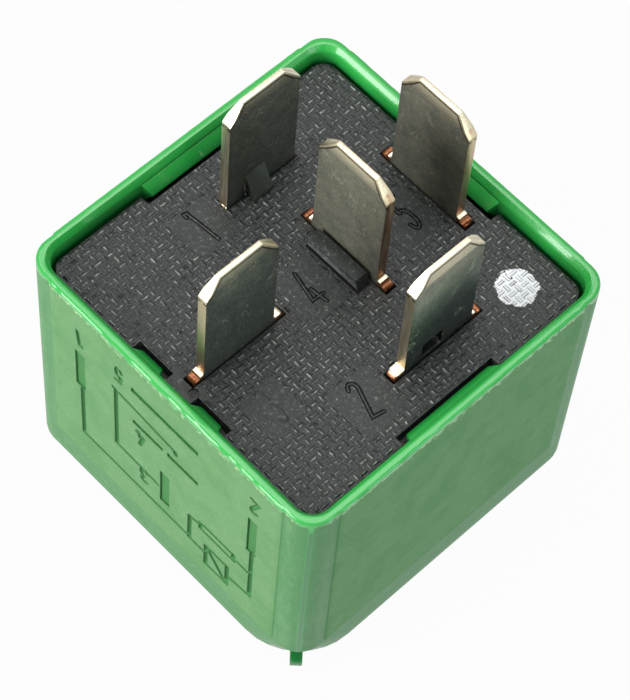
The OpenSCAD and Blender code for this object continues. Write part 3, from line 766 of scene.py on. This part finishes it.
    def dress(self, made: Object, material: Material, slot: str, angle: float = 32.0,
              stands_for: Sequence[str] = (), body: str | None = ROOT) -> None:
        """Gives a finished piece its shading, material and body.

        Args:
            made: The piece.
            material: Its material.
            slot: The record's material slot; not used.
            angle: The fold in degrees past which an edge stays crisp.
            stands_for: The nodes that it replaces.
            body: The body that carries it, or None to leave it unattached.
        """
        mesh = made.data
        mesh.materials.clear()
        mesh.materials.append(material)
        mesh.polygons.foreach_set("use_smooth", [True] * len(mesh.polygons))
        mesh.set_sharp_from_angle(angle=math.radians(angle))
        mesh.update()
        if body is not None:
            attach(made, body)
        if stands_for:
            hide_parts(*stands_for)
        self.made.append(made.name)
        LOG.info("%s: %d faces", made.name, len(mesh.polygons))

    def coat(self, node: str, material: Material) -> None:
        """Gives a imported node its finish.

        Args:
            node: The node's name.
            material: Its material.
        """
        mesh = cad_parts[node].data
        mesh.materials.clear()
        mesh.materials.append(material)
        LOG.info("%s: coated", node)


# ---- figures


def bow(centre: Point2, reach: Point2, start: float, end: float, steps: int = 7) -> list[Point2]:
    """Gives points along part of an oval.

    Args:
        centre: The oval's centre.
        reach: Its half width and half height.
        start: The first angle in degrees.
        end: The last angle in degrees.
        steps: How many points there are after the first.

    Returns:
        The points.
    """
    turns = [math.radians(start + (end - start) * i / steps) for i in range(steps + 1)]
    return [(centre[0] + reach[0] * math.cos(a), centre[1] + reach[1] * math.sin(a)) for a in turns]


FIGURES: dict[int, list[list[Point2]]] = {
    1: [[(0.22, 0.88), (0.26, 0.99), (0.42, 0.98), (0.63, 0.0)]],
    2: [[*bow((0.47, 0.85), (0.26, 0.15), 170, -40), (0.08, 0.06), (0.76, 0.0)]],
    3: [[*bow((0.45, 0.77), (0.27, 0.23), 150, -70), *bow((0.47, 0.29), (0.30, 0.29), 70, -150)]],
    4: [[(0.50, 1.0), (0.10, 0.22), (0.84, 0.20)], [(0.50, 0.47), (0.63, 0.0)]],
    5: [[(0.80, 1.0), (0.36, 1.0), (0.26, 0.58), *bow((0.47, 0.30), (0.27, 0.30), 120, -160, 9)]],
}


def strokes(figure: int, size: Point2) -> list[list[Point2]]:
    """Gives a pin figure's strokes about its middle.

    Args:
        figure: A number from 1 to 5.
        size: The figure's width and height.

    Returns:
        Points as distances to the right of and above the middle.
    """
    return [[((u - 0.5) * size[0], (v - 0.5) * size[1]) for u, v in path] for path in FIGURES[figure]]


# ---- case


class Row(NamedTuple):
    """One ring of the case's skin: height, half width, corners, proud flats and raggedness."""

    z: float
    half: float
    corner: float
    near: float
    proud: float = 0.0
    rag: float = 0.0


@dataclass
class Case(Workshop):
    """The moulded box: lofted shell, raised panels, snap ramps, nib and diagram.

    A rim step is the drop from the top, the inset, the panels' share and the raggedness.
    An inner step is the drop from the top and the flare.
    """

    half: float = 14.0
    proud: float = 0.1
    height: float = 25.0
    inner: float = 13.05
    inner_corner: float = 1.4
    floor: float = 1.2
    floor_inset: float = 0.45
    floor_near: float = 4.4
    corner: float = 1.9
    least_corner: float = 0.2
    near_corner: float = 5.2
    end_round: float = 1.75
    end_steps: int = 6
    band: float = 4.5
    band_lip: Point2 = (-0.02, 0.06)
    band_steps: int = 5
    panel: float = 11.4
    panel_step: float = 0.22
    arc_steps: int = 8
    flat_steps: int = 56
    rag_out: float = 0.6
    rag_corner: float = 0.5
    rim_steps: tuple = ((0.62, 0.0, 1.0, 0.0), (0.40, 0.02, 1.0, 0.0715), (0.17, 0.0, 0.9, 0.055),
                        (0.06, 0.05, 0.7, 0.0275), (0.012, 0.13, 0.6, 0.008), (0.0, 0.24, 0.5, 0.0))
    inner_steps: tuple = ((0.0, 0.42), (0.012, 0.37), (0.06, 0.33), (0.34, 0.06), (0.5, 0.01), (0.6, 0.0))
    ramp: tuple = ((13.5, 22.6), (13.0, 22.6), (12.34, 23.46), (12.30, 23.54), (12.33, 23.61),
                   (13.02, 24.36), (13.5, 24.4))
    ramp_nose: float = 12.5
    ramp_slant: float = 0.38
    ramp_reach: float = 4.15
    ramp_gap: float = 1.5
    nib_low: Point3 = (16.4, -0.475, 0.8)
    nib_high: Point3 = (18.4, 0.475, 1.7)
    nib_drop: float = 0.16
    nib_rise: float = 0.05
    nib_taper: float = 0.93
    nib_round: float = 0.07

    def ring(self, row: Row) -> list[Vector]:
        """Gives the places of one rounded square ring.

        Args:
            row: The ring's sizes.

        Returns:
            The places in order, from the diagram's wall round.
        """
        full = self.half - self.proud - self.corner
        inside = self.panel - self.panel_step
        marks = [-full, -self.panel]
        marks += [-inside + 2 * inside * i / (self.flat_steps - 1) for i in range(self.flat_steps)]
        marks += [self.panel, full]
        corners = (row.near, row.corner, row.corner, row.corner)
        spots = []
        for wall, r in enumerate(corners):
            turn = Matrix.Rotation(wall * math.pi / 2, 3, "Z")
            start, end = corners[wall - 1] - row.half, row.half - r
            for i, mark in enumerate(marks):
                along = start + (end - start) * (mark + full) / (2 * full)
                out = row.half + (row.proud if 1 < i < len(marks) - 2 else 0.0)
                wave = random.uniform(-row.rag, row.rag)
                spots.append(turn @ Vector((along, max(wave, 0.0) * self.rag_out - out, row.z + wave)))
            for i in range(1, self.arc_steps):
                a = i * math.pi / 2 / self.arc_steps
                wave = random.uniform(-row.rag, row.rag) * self.rag_corner
                spots.append(turn @ Vector((end + r * math.sin(a), -end - r * math.cos(a), row.z + wave)))
        return spots

    def outer_rows(self) -> list[Row]:
        """Lists the outside's rings.

        Returns:
            The rings from the closed end up to the rim.
        """
        body = self.half - self.proud
        below, above = (self.band + lip for lip in self.band_lip)
        rows = []
        for i in range(self.end_steps + 1):
            a = i * math.pi / 2 / self.end_steps
            inset = self.end_round * (1 - math.sin(a))
            rows.append(Row(self.end_round * (1 - math.cos(a)), body - inset,
                            max(self.corner - inset, self.least_corner), self.near_corner - inset))
        for i in range(1, self.band_steps + 1):
            t = i / self.band_steps
            rows.append(Row(self.end_round + (below - self.end_round) * t, body, self.corner,
                            self.near_corner + (self.corner - self.near_corner) * t))
        rows.append(Row(above, body, self.corner, self.corner, self.proud))
        for drop, inset, share, rag in self.rim_steps:
            corner = self.corner - inset
            rows.append(Row(self.height - drop, body - inset, corner, corner, self.proud * share, rag))
        return rows

    def inner_rows(self) -> list[Row]:
        """Lists the inside's rings.

        Returns:
            The rings from the rim down to the floor.
        """
        corner = self.inner_corner
        rows = [Row(self.height - drop, self.inner + flare, corner + flare, corner + flare)
                for drop, flare in self.inner_steps]
        rows.append(Row(self.band, self.inner, corner, corner))
        rows.append(Row(self.floor, self.inner - self.floor_inset, corner, self.floor_near))
        return rows

    def snap_ramp(self, side: float, low: float, high: float) -> Draft:
        """Makes one snap ramp, its ends slanted toward the nose.

        Args:
            side: The wall's turn in degrees from +X.
            low: Where the ramp starts along its wall.
            high: Where it ends.

        Returns:
            The ramp.
        """
        bm = bmesh.new()
        face = bm.faces.new([bm.verts.new((u, low, z)) for u, z in self.ramp])
        moved = bmesh.ops.extrude_face_region(bm, geom=[face])["geom"]
        far = only(moved, Vert)
        bmesh.ops.translate(bm, vec=(0, high - low, 0), verts=far)
        for vert in bm.verts:
            if vert.co.x < self.ramp_nose:
                vert.co.y += -self.ramp_slant if vert in far else self.ramp_slant
        bmesh.ops.recalc_face_normals(bm, faces=bm.faces)
        bmesh.ops.rotate(bm, matrix=Matrix.Rotation(math.radians(side), 3, "Z"), verts=bm.verts)
        return bm

    def nib(self) -> Draft:
        """Makes the small moulding nib at the near closed-end corner.

        Returns:
            The nib.
        """
        bm = self.block(self.nib_low, self.nib_high)
        middle = (Vector(self.nib_low) + Vector(self.nib_high)) / 2
        for vert in bm.verts:
            if vert.co.x > middle.x:
                vert.co.z += self.nib_rise if vert.co.z < middle.z else -self.nib_drop
                vert.co.y *= self.nib_taper
        self.soften(bm, self.nib_round)
        bmesh.ops.rotate(bm, matrix=Matrix.Rotation(-math.pi / 4, 3, "Z"), verts=bm.verts)
        return bm

    def build(self) -> None:
        """Makes and dresses the case."""
        made = bare(self.loft([self.ring(row) for row in self.outer_rows() + self.inner_rows()]),
                    "case_shell")
        reach, gap = self.ramp_reach, self.ramp_gap
        spans = ((0, -reach, reach), (90, -reach, reach), (180, -reach, reach), (-90, gap, reach),
                 (-90, -reach, -gap))
        self.cut(made, [*(self.snap_ramp(*span) for span in spans), self.nib()], "UNION")
        self.cut(made, Diagram().cutters())
        self.dress(made, GreenMoulding().material(), "green_plastic", 30.0, ["case"])


@dataclass
class Diagram(Workshop):
    """The sunk wiring diagram on the -Y wall, drawn in X and Z."""

    face: float = -14.0
    depth: float = 0.16
    overhang: float = 0.3
    line: float = 0.46
    figure_line: float = 0.40
    figure_size: Point2 = (1.0, 1.75)
    lines: tuple = (
        ((-8.2, 14.2), (-8.2, 7.8), (2.5, 7.75)),
        ((-4.7, 18.9), (-4.7, 11.2), (-0.5, 11.0)),
        ((-4.95, 19.0), (1.25, 18.35), (1.25, 18.0)),
        ((2.8, 11.0), (2.8, 7.6), (4.5, 7.6)),
        ((2.8, 11.0), (3.9, 11.25)),
        ((7.2, 11.1), (8.9, 11.1)),
        ((6.7, 7.4), (8.9, 7.7)),
        ((8.9, 14.6), (8.9, 7.7)),
        ((4.5, 8.8), (6.65, 8.8), (6.65, 6.0), (4.5, 6.0), (4.5, 8.8)),
        ((4.6, 8.7), (6.55, 6.1)),
        ((3.9, 11.6), (7.2, 11.6), (7.2, 10.7), (3.9, 10.7), (3.9, 11.6)),
    )
    slots: tuple = (
        ((-8.85, 14.4), (-7.87, 19.1)),
        ((8.33, 14.4), (9.23, 19.4)),
        ((-0.25, 9.05), (0.70, 13.5)),
        ((-3.15, 20.95), (3.43, 21.55)),
        ((-3.0, 16.65), (0.0, 17.15)),
        ((0.45, 16.65), (3.5, 17.2)),
    )
    labels: tuple = ((1, -8.4, 21.1), (5, -4.4, 21.4), (4, -2.3, 15.3), (3, -1.9, 10.2), (2, 8.8, 21.5))

    def groove(self, path: Iterable[Point2], width: float) -> Draft:
        """Makes the round cutter of one line on the wall."""
        return self.wire([Vector((x, self.face, z)) for x, z in path], width / 2, Vector((0, -1, 0)))

    def cutters(self) -> list[Draft]:
        """Makes the cutters of every line, slot and figure.

        Returns:
            The cutters.
        """
        made = []
        outer, inner = self.face - self.overhang, self.face + self.depth
        for path in self.lines:
            closed = path[0] == path[-1]
            made += [self.groove(part, self.line) for part in ((path[:3], path[2:]) if closed else (path,))]
        for (x0, z0), (x1, z1) in self.slots:
            made.append(self.block((x0, outer, z0), (x1, inner, z1)))
        for figure, x, z in self.labels:
            for path in strokes(figure, self.figure_size):
                made.append(self.groove([(x - right, z - above) for right, above in path],
                                        self.figure_line))
        return made


# ---- base


class SmoothPatch(NamedTuple):
    """A smooth field on the base that carries one raised pin figure."""

    figure: int
    low: Point2
    high: Point2
    centre: Point2
    clear: float = 1.0


@dataclass
class ContactBase(Workshop):
    """The dark base: plate, woven skin of short grooves, patches and figures.

    A slot is its middle and its half lengths along X and Y. The notch and the rib's foot
    are zones that the weave leaves free: the lowest X and Y and the highest.
    """

    top: float = 23.6
    skin: float = 0.015
    skin_root: float = 0.05
    skin_inset: float = 0.12
    skin_corner: float = 1.1
    half: float = 12.75
    cells: int = 44
    marks: tuple[float, ...] = (0.0, 0.06, 0.27, 0.5, 0.73, 0.94)
    crest: int = 3
    raised: float = 0.027
    ridge: float = 0.12
    least_lift: float = 0.5
    moat: float = 0.19
    moat_lift: float = 0.05
    stroke: float = 0.085
    stroke_drop: float = 0.06
    rib: Zone = (-2.5, 1.4, 2.4, 2.45)
    rib_zone: Zone = (-2.85, 1.0, 2.75, 2.7)
    rib_groove: float = 0.2
    rib_groove_deep: float = 0.11
    ramp_line: float = 11.9
    ramp_reach: float = 4.55
    notch: Zone = (-1.6, -13.0, 1.6, -11.3)
    figure_size: Point2 = (1.26, 3.0)
    edge_round: float = 0.05
    overhang: float = 0.1
    patch_root: float = 0.04
    patch_round: float = 0.35
    patches: tuple = (
        SmoothPatch(1, (-10.2, -4.7), (-6.4, -1.2), (-8.30, -2.95)),
        SmoothPatch(2, (6.6, -5.9), (10.9, -2.3), (8.62, -3.98)),
        SmoothPatch(3, (3.2, -10.6), (6.7, -7.2), (4.9, -8.85), 0.5),
        SmoothPatch(4, (-2.2, -2.6), (2.4, 0.9), (0.09, -0.85)),
        SmoothPatch(5, (-1.9, 6.0), (2.6, 9.5), (0.12, 8.0)),
    )
    slots: tuple = ((-8.6, 2.4, 0.62, 3.3), (8.6, 2.4, 0.62, 4.4), (0.0, -7.6, 0.62, 4.4),
                    (-0.3, 3.1, 4.4, 0.62), (-0.3, 10.6, 4.4, 0.62))

    def free_zones(self) -> list[Zone]:
        """Lists the zones that the woven skin leaves free.

        Returns:
            The patches, the slots, the notch and the rib's foot.
        """
        zones = [(*patch.low, *patch.high) for patch in self.patches]
        zones += [(x - wide, y - deep, x + wide, y + deep) for x, y, wide, deep in self.slots]
        return [*zones, self.notch, self.rib_zone]

    def woven(self, x: float, y: float, zones: list[Zone]) -> bool:
        """Tells whether the woven skin covers a spot.

        Args:
            x: The spot's X.
            y: The spot's Y.
            zones: The zones that it leaves free.

        Returns:
            Whether the spot is covered.
        """
        core = self.half - self.skin_inset - self.skin_corner
        if math.hypot(max(abs(x) - core, 0.0), max(abs(y) - core, 0.0)) > self.skin_corner:
            return False
        if max(abs(x), abs(y)) > self.ramp_line and min(abs(x), abs(y)) < self.ramp_reach:
            return False
        return not any(x0 < x < x1 and y0 < y < y1 for x0, y0, x1, y1 in zones)

    def weave(self) -> Draft:
        """Makes the woven skin: short crossed ridges on a fine grid.

        Returns:
            The closed skin.
        """
        steps = len(self.marks)
        count = self.cells * steps
        pitch = 2 * self.half / self.cells
        lift = {(a, b): random.uniform(self.least_lift, 1.0) for a in range(-1, self.cells + 1)
                for b in range(-1, self.cells + 1)}
        bm = bmesh.new()
        bmesh.ops.create_grid(bm, x_segments=count, y_segments=count, size=count / 2)
        for vert in bm.verts:
            i, j = round(vert.co.x + count / 2), round(vert.co.y + count / 2)
            a, b = i // steps, j // steps
            across, along = (j, i) if (a + b) % 2 == 0 else (i, j)
            crest = across % steps == self.crest and along % steps != 0
            vert.co = ((a + self.marks[i % steps]) * pitch - self.half,
                       (b + self.marks[j % steps]) * pitch - self.half,
                       self.top + self.skin + (self.ridge * lift[a, b] if crest else 0.0))
        zones = self.free_zones()
        doomed = [f for f in bm.faces if not self.woven(*f.calc_center_median().xy, zones)]
        bmesh.ops.delete(bm, geom=doomed, context="FACES")
        rim = [e for e in bm.edges if e.is_boundary]
        moved = bmesh.ops.extrude_edge_only(bm, edges=rim)["geom"]
        for vert in only(moved, Vert):
            vert.co.z = self.top - self.skin_root
        bmesh.ops.triangle_fill(bm, edges=only(moved, Edge), use_beauty=False,
                                use_dissolve=False)
        bmesh.ops.recalc_face_normals(bm, faces=bm.faces)
        return bm

    def build(self) -> None:
        """Makes and dresses the base, its skin, patches and figures."""
        plain = DarkMoulding(name="dark_moulding_smooth", marked=False).material()
        plate = self.solid_of("base")
        self.soften(plate, self.edge_round)
        made = bare(plate, "base_plate")
        moats = [wire for patch in self.patches for wire in self.drawn(patch, True)]
        self.cut(made, moats + self.rib_grooves())
        self.dress(made, plain, "grey_plastic", 30.0, ["base"])
        skin = bare(self.weave(), "base_weave")
        self.dress(skin, DarkMoulding().material(), "grey_plastic", 70.0)
        for patch in self.patches:
            self.patch(patch, plain)

    def rib_grooves(self) -> list[Draft]:
        """Makes the cutters of the sink line along the rib's foot, painted black there as the rib's shadow.

        Returns:
            The cutters.
        """
        x0, y0, x1, y1 = self.rib
        gap = self.rib_groove
        low, high = self.top - self.rib_groove_deep, self.top + self.overhang
        return [self.block((x0, y0 - gap, low), (x1 + gap, y0, high)),
                self.block((x1, y0 - gap, low), (x1 + gap, y1, high))]

    def patch(self, patch: SmoothPatch, material: Material) -> None:
        """Makes a smooth patch, its figure in a narrow moat.

        Args:
            patch: The patch.
            material: Its material.
        """
        bm = self.block((*patch.low, self.top - self.patch_root), (*patch.high, self.top + self.raised))
        self.soften(bm, self.patch_round, segments=4,
                         where=lambda e: abs(e.verts[0].co.z - e.verts[1].co.z) > self.patch_root)
        plate = bare(bm, f"figure_patch_{patch.figure}")
        self.cut(plate, self.drawn(patch, True))
        self.cut(plate, self.drawn(patch, False), "UNION")
        self.dress(plate, material, "grey_plastic", 32.0)

    def drawn(self, patch: SmoothPatch, moat: bool) -> list[Draft]:
        """Makes a figure's wires.

        Args:
            patch: The patch that carries the figure.
            moat: Whether they cut the moat, or stand in it as a ridge.

        Returns:
            The wires.
        """
        level = self.top + self.raised + (self.moat_lift if moat else -self.stroke_drop)
        radius = patch.clear * (self.moat if moat else self.stroke)
        x, y = patch.centre
        paths = strokes(patch.figure, self.figure_size)
        return [self.wire([Vector((x - above, y + right, level)) for right, above in path], radius,
                               Vector((0, 0, 1))) for path in paths]


# ---- terminals


class Blade(NamedTuple):
    """One terminal: node, way, middle, tarnish with painted dark reflection, painted shade growing toward
    the base, raw edges, scooped ears.
    """

    node: str
    wide: Axis
    middle: Point2
    dull: float
    fade: float
    raw: float
    scooped: tuple[int, ...] = ()


@dataclass
class Terminals(Workshop):
    """The five stamped blades with their inner tails."""

    # dull is partly painted dark reflection: highest on the blades whose faces turn from the window
    blades: tuple = (
        Blade("terminal_86", Axis.Y, (-8.6, 2.4), 0.75, 0.1, 0.05),
        Blade("terminal_85", Axis.Y, (8.6, 2.4), 0.4, 1.1, 0.2, (1,)),
        Blade("terminal_30", Axis.Y, (0.0, -7.6), 0.75, 0.2, 0.45, (-1,)),
        Blade("terminal_87a", Axis.X, (-0.3, 3.1), 0.3, 0.1, 0.8, (-1, 1)),
        Blade("terminal_87", Axis.X, (-0.3, 10.6), 0.36, 0.1, 0.7, (-1, 1)),
    )
    base_top: float = 23.6
    half_width: float = 3.15
    scoop_r: float = 0.30
    scoop_out: float = 0.62
    scoop_up: float = 0.5
    scoop_long: float = 2.0
    ear_round: float = 0.16
    edge_round: float = 0.055
    least_fold: float = 20.0
    ear_margin: Point2 = (0.2, 0.1)
    burr: Point3 = (0.10, 0.09, 0.19)
    burrs: tuple = (("terminal_86", (-7.95, 0.72, 24.15)), ("terminal_86", (-7.35, 2.72, 23.95)),
                    ("terminal_85", (9.0, 2.30, 24.45)), ("terminal_85", (9.0, 2.72, 24.85)))

    def build(self) -> None:
        """Makes and dresses every terminal."""
        for blade in self.blades:
            offset, middle = blade.middle if blade.wide is Axis.Y else reversed(blade.middle)
            finish = TinnedBrass(name="tinned_brass_" + blade.node.removeprefix("terminal_"),
                                 wide=blade.wide, middle=middle, offset=offset, dull=blade.dull,
                                 fade=blade.fade, raw=blade.raw)
            self.blade(blade, finish.material())

    def blade(self, blade: Blade, material: Material) -> None:
        """Makes one terminal: rounded ears, soft edges and the stamping's burrs.

        Args:
            blade: The terminal.
            material: Its material.
        """
        def on_ear(edge: Edge) -> bool:
            """Tells whether an edge belongs to an ear above the base.

            Args:
                edge: The edge.

            Returns:
                Whether it does.
            """
            i = 1 if blade.wide is Axis.Y else 0
            out, up = self.ear_margin
            return all(abs(v.co[i] - blade.middle[i]) > self.half_width + out
                       and v.co.z > self.base_top + up for v in edge.verts)

        bm = self.solid_of(blade.node)
        self.soften(bm, self.ear_round, self.least_fold, 3, on_ear)
        self.soften(bm, self.edge_round, self.least_fold, 3, lambda e: not on_ear(e))
        for node, spot in self.burrs:
            if node == blade.node:
                shape = Matrix.Translation(spot) @ Matrix.Diagonal((*self.burr, 1.0))
                bmesh.ops.create_icosphere(bm, subdivisions=2, radius=1.0, matrix=shape)
        made = bare(bm, f"{blade.node}_blade")
        if blade.scooped:
            self.cut(made, [self.scoop(blade, end) for end in blade.scooped])
        self.dress(made, material, "plated_brass", 22.0, [blade.node])

    def scoop(self, blade: Blade, end: int) -> Draft:
        """Makes the round cutter that leaves an ear hollow between two lips.

        Args:
            blade: The terminal.
            end: -1 or 1, the end of the blade.

        Returns:
            The cutter, square to the blade's wide side.
        """
        along = end * (self.half_width + self.scoop_out)
        place = Vector((*blade.middle, self.base_top + self.scoop_up))
        place += Vector((along, 0, 0) if blade.wide is Axis.X else (0, along, 0))
        turn = Matrix.Rotation(math.pi / 2, 4, "X" if blade.wide is Axis.X else "Y")
        bm = bmesh.new()
        bmesh.ops.create_cone(bm, cap_ends=True, segments=24, radius1=self.scoop_r, radius2=self.scoop_r,
                              depth=self.scoop_long, matrix=Matrix.Translation(place) @ turn)
        return bm


# ---- inner works


@dataclass
class InnerWorks(Workshop):
    """The hidden magnet, armature, contacts and resistor."""

    finishes: tuple = (
        (PlainMetal("nickelled_iron", (0.52, 0.52, 0.54), (0.38, 0.38, 0.40)),
         ("yoke", "core", "armature", "armature_rivets", "spring_rivets")),
        (PlainMetal("contact_alloy", (0.80, 0.79, 0.76), (0.62, 0.60, 0.56), 0.26, (1, 1, 1)),
         ("moving_contact", "contact_no", "contact_nc")),
        (PlainMetal("tinned_lead", (0.66, 0.66, 0.66), (0.5, 0.5, 0.5), 0.3, (1, 1, 1)),
         ("resistor_leads",)),
        (HiddenMoulding("natural_nylon", (0.74, 0.70, 0.60), (0.64, 0.59, 0.48)), ("bobbin",)),
        (HiddenMoulding("resistor_lacquer", (0.60, 0.50, 0.30), (0.50, 0.40, 0.22), 0.3),
         ("resistor_body",)),
        (WoundCopper(), ("coil_winding",)),
    )

    def build(self) -> None:
        """Coats the inner nodes and remakes the leaf spring, left without a body."""
        for finish, nodes in self.finishes:
            material = finish.material()
            for node in nodes:
                self.coat(node, material)
        bronze = PlainMetal("rolled_bronze", (0.66, 0.44, 0.20), (0.52, 0.32, 0.13), 0.3, (1, 8, 8))
        leaf = bare(self.solid_of("contact_spring", merge=False), "leaf_spring")
        self.dress(leaf, bronze.material(), "spring_bronze", 40.0, body=None)
        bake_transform(leaf)
        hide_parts("contact_spring")


# ---- stage


@dataclass
class Studio:
    """Camera, lamps, white surroundings and floor."""

    azimuth: float = 41.352
    elevation: float = 60.854
    roll: float = -5.803
    distance: float = 250.99
    target: Point3 = (-15.302, 17.796, -28.135)
    lens: float = 149.06
    sensor: float = 36.0
    clip: Point2 = (0.01, 10.0)
    lamps: tuple = (
        ("window", (-110.0, -330.0, 150.0), 200.0, 1.45, (1.0, 1.0, 1.0)),
        ("ceiling", (-60.0, 60.0, 420.0), 300.0, 1.1, (1.0, 1.0, 1.0)),
        ("fill", (340.0, 20.0, 110.0), 260.0, 0.5, (0.82, 1.0, 1.04)),
    )
    aim: Point3 = (0.0, 0.0, 18.0)
    glow: float = 0.2
    glow_colour: Colour = (0.95, 0.97, 1.0)
    floor_half: float = 1500.0
    floor_grey: float = 0.35
    floor_share: float = 0.97

    def camera(self) -> None:
        """Places the camera."""
        a, e = math.radians(self.azimuth), math.radians(self.elevation)
        back = Vector((math.sin(a) * math.cos(e), -math.cos(a) * math.cos(e), math.sin(e)))
        right = Vector((0, 0, 1)).cross(back).normalized()
        up = back.cross(right)
        turn = Matrix((right, up, back)).transposed() @ Matrix.Rotation(math.radians(-self.roll), 3, "Z")
        data = bpy.data.cameras.new("view")
        data.lens = self.lens
        data.sensor_width = self.sensor
        data.sensor_fit = "AUTO"
        data.clip_start, data.clip_end = self.clip
        matrix = turn.to_4x4()
        matrix.translation = (Vector(self.target) + back * self.distance) * MM
        made = placed("view", data)
        made.matrix_world = matrix
        bpy.context.scene.camera = made

    def lights(self) -> None:
        """Hangs the lamps, each turned to the relay."""
        for name, place, size, power, colour in self.lamps:
            data = bpy.data.lights.new(name, "AREA")
            data.shape = "SQUARE"
            data.size = size * MM
            data.energy = power
            data.color = colour
            spot = Vector(place) * MM
            turn = (spot - Vector(self.aim) * MM).to_track_quat("Z", "Y").to_matrix().to_4x4()
            placed(name, data).matrix_world = Matrix.Translation(spot) @ turn

    def veil(self, tree: Tree, lit: bpy.types.Node, seen: bpy.types.Node, output: str,
             share: float | None = None) -> None:
        """Ends a tree with one shader where it lights and another where it is seen.

        Args:
            tree: The node tree.
            lit: The shader that lights the relay.
            seen: The shader for rays that show the background, straight or mirrored.
            output: The output node's type.
            share: How much of the seen shader shows, or None for all of it.
        """
        path = add_node(tree, "ShaderNodeLightPath", {})
        mask = Signal(tree, path.outputs["Is Camera Ray"])
        for name in ("Is Glossy Ray", "Is Transmission Ray"):
            mask = mask.most(Signal(tree, path.outputs[name]))
        if share is not None:
            mask = mask * share
        mix = add_node(tree, "ShaderNodeMixShader", {0: mask, 1: lit.outputs[0], 2: seen.outputs[0]})
        add_node(tree, output, {0: mix.outputs[0]})

    def surroundings(self) -> None:
        """Makes the world: white where it is seen, softer where it lights."""
        world = bpy.data.worlds.new("surroundings")
        world.use_nodes = True
        tree = world.node_tree
        tree.nodes.clear()
        white = add_node(tree, "ShaderNodeBackground", {0: (1, 1, 1, 1)})
        lit = add_node(tree, "ShaderNodeBackground", {0: (*self.glow_colour, 1), 1: self.glow})
        self.veil(tree, lit, white, "ShaderNodeOutputWorld")
        bpy.context.scene.world = world

    def floor(self) -> None:
        """Lays the pale floor, white where it is seen, with a faint shadow."""
        bm = bmesh.new()
        bmesh.ops.create_grid(bm, x_segments=1, y_segments=1, size=self.floor_half)
        made = bare(bm, "floor")
        material = bpy.data.materials.new("pale_floor")
        material.use_nodes = True
        tree = material.node_tree
        tree.nodes.clear()
        dull = add_node(tree, "ShaderNodeBsdfDiffuse", {0: (self.floor_grey,) * 3 + (1,)})
        glow = add_node(tree, "ShaderNodeEmission", {})
        self.veil(tree, dull, glow, "ShaderNodeOutputMaterial", self.floor_share)
        made.data.materials.append(material)

    def build(self) -> None:
        """Sets the whole stage."""
        self.camera()
        self.lights()
        self.surroundings()
        self.floor()
        bpy.context.scene.view_settings.view_transform = "Standard"


def main() -> None:
    """Builds the relay's looks in order and reports each piece."""
    logging.basicConfig(level=logging.INFO, format="%(name)s %(message)s")
    random.seed(SEED)
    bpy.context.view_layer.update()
    for part in (Case, ContactBase, Terminals, InnerWorks, Studio):
        part().build()
    LOG.info("pieces made: %s", ", ".join(Workshop.made))


if __name__ == "__main__":
    main()
